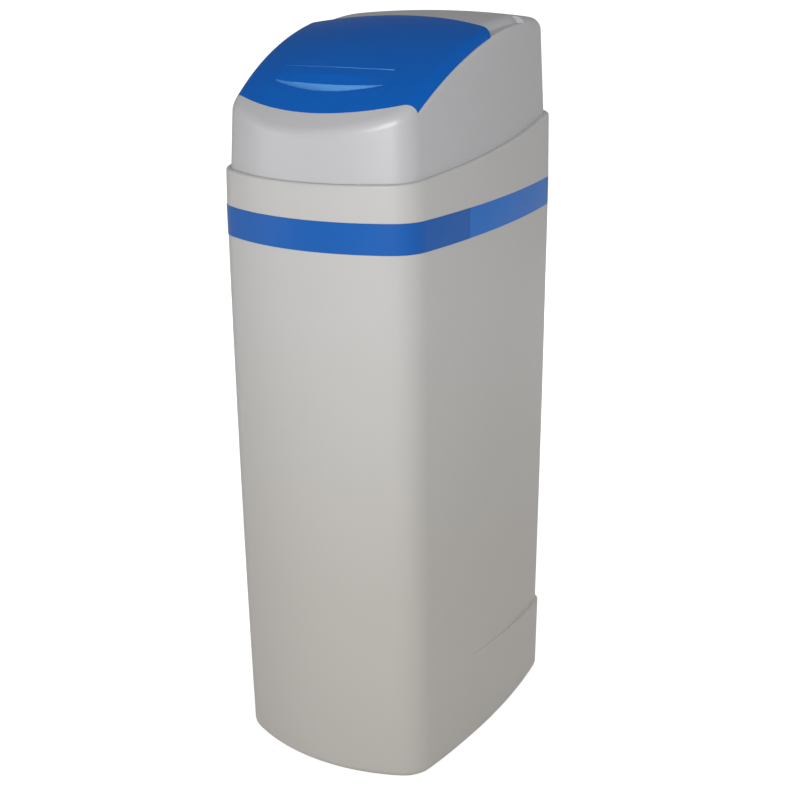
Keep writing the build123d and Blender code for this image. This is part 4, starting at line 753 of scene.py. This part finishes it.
def makeLights():
    for name, v in softLight.items():
        lamp = addLamp(name, v)
        lamp.visible_glossy = name not in ("rear", "back")  # these two only fill, they draw no streak
    shine = addLamp("recess_shine", recessShine)
    shine.data.color = hexColour(recessShine["colour"])[:3]
    shine.visible_diffuse = False
    recessOnly = bpy.data.collections.new("recess_only")
    for facing in gripFacings:
        recessOnly.objects.link(facing)
    shine.light_linking.receiver_collection = recessOnly


def mathNode(tree, operation, first, second):
    node = addNode(tree, "ShaderNodeMath", {"operation": operation})
    for socket, value in zip(node.inputs, (first, second)):
        if isinstance(value, (int, float)):
            socket.default_value = value
        else:
            tree.links.new(value, socket)
    return node.outputs[0]


def mirrorRay(tree, path):
    # 1 where a ray comes by a reflection or through glass
    return mathNode(tree, "MAXIMUM", path.outputs["Is Glossy Ray"], path.outputs["Is Transmission Ray"])


def makeRoom():
    # white backdrop to the eye, plain grey room light, and a darker ceiling in reflections
    world = bpy.data.worlds.new("room")
    world.use_nodes = True
    scene.world = world
    tree = world.node_tree
    tree.nodes.clear()
    path = addNode(tree, "ShaderNodeLightPath")
    place = addNode(tree, "ShaderNodeTexCoord").outputs["Generated"]
    height = addNode(tree, "ShaderNodeSeparateXYZ", links={"Vector": place}).outputs["Z"]
    ceiling = addNode(tree, "ShaderNodeMapRange",
                      {"From Min": room["backdropTop"], "From Max": room["ceilingFrom"],
                       "To Min": room["mirrored"], "To Max": room["ceiling"]}, {"Value": height})
    seen = mathNode(tree, "MULTIPLY", path.outputs["Is Camera Ray"], room["backdrop"])
    mirrored = mathNode(tree, "MULTIPLY", mirrorRay(tree, path), ceiling.outputs["Result"])
    straight = mathNode(tree, "MAXIMUM", path.outputs["Is Camera Ray"], mirrorRay(tree, path))
    plain = mathNode(tree, "MULTIPLY", mathNode(tree, "SUBTRACT", 1, straight), room["strength"])
    strength = mathNode(tree, "ADD", mathNode(tree, "ADD", seen, mirrored), plain)
    light = addNode(tree, "ShaderNodeBackground", {"Color": (1, 1, 1, 1)}, {"Strength": strength})
    addNode(tree, "ShaderNodeOutputWorld", links={"Surface": light.outputs[0]})


def makeFloor():
    # pale studio floor: it goes to white away from the object and keeps a soft shadow near it
    bpy.ops.mesh.primitive_plane_add(size=60)
    floor = bpy.context.object
    floor.name = "floor"
    material = bpy.data.materials.new("pale studio floor")
    material.use_nodes = True
    tree = material.node_tree
    tree.nodes.clear()
    path = addNode(tree, "ShaderNodeLightPath")
    away = addNode(tree, "ShaderNodeVectorMath", {"operation": "LENGTH"})
    tree.links.new(objectPlace(tree), away.inputs[0])
    fade = addNode(tree, "ShaderNodeMapRange",
                   {"From Min": floorLook["nearMm"] * mm, "From Max": floorLook["farMm"] * mm,
                    "To Min": floorLook["nearGlow"], "To Max": floorLook["farGlow"]},
                   {"Value": away.outputs["Value"]})
    mirrored = mathNode(tree, "MULTIPLY", mirrorRay(tree, path), floorLook["mirrored"])
    seen = mathNode(tree, "MAXIMUM", path.outputs["Is Camera Ray"], mirrored)
    strength = mathNode(tree, "MULTIPLY", seen, fade.outputs["Result"])
    base = addNode(tree, "ShaderNodeBsdfDiffuse", {"Color": hexColour(floorLook["colour"])})
    glow = addNode(tree, "ShaderNodeEmission", {"Color": (1, 1, 1, 1)}, {"Strength": strength})
    both = addNode(tree, "ShaderNodeAddShader")
    tree.links.new(base.outputs[0], both.inputs[0])
    tree.links.new(glow.outputs[0], both.inputs[1])
    addNode(tree, "ShaderNodeOutputMaterial", links={"Surface": both.outputs[0]})
    floor.data.materials.append(material)


makeCamera()
makeLights()
makeRoom()
makeFloor()
scene.view_settings.view_transform = "Standard"
print("camera, lights and floor placed")
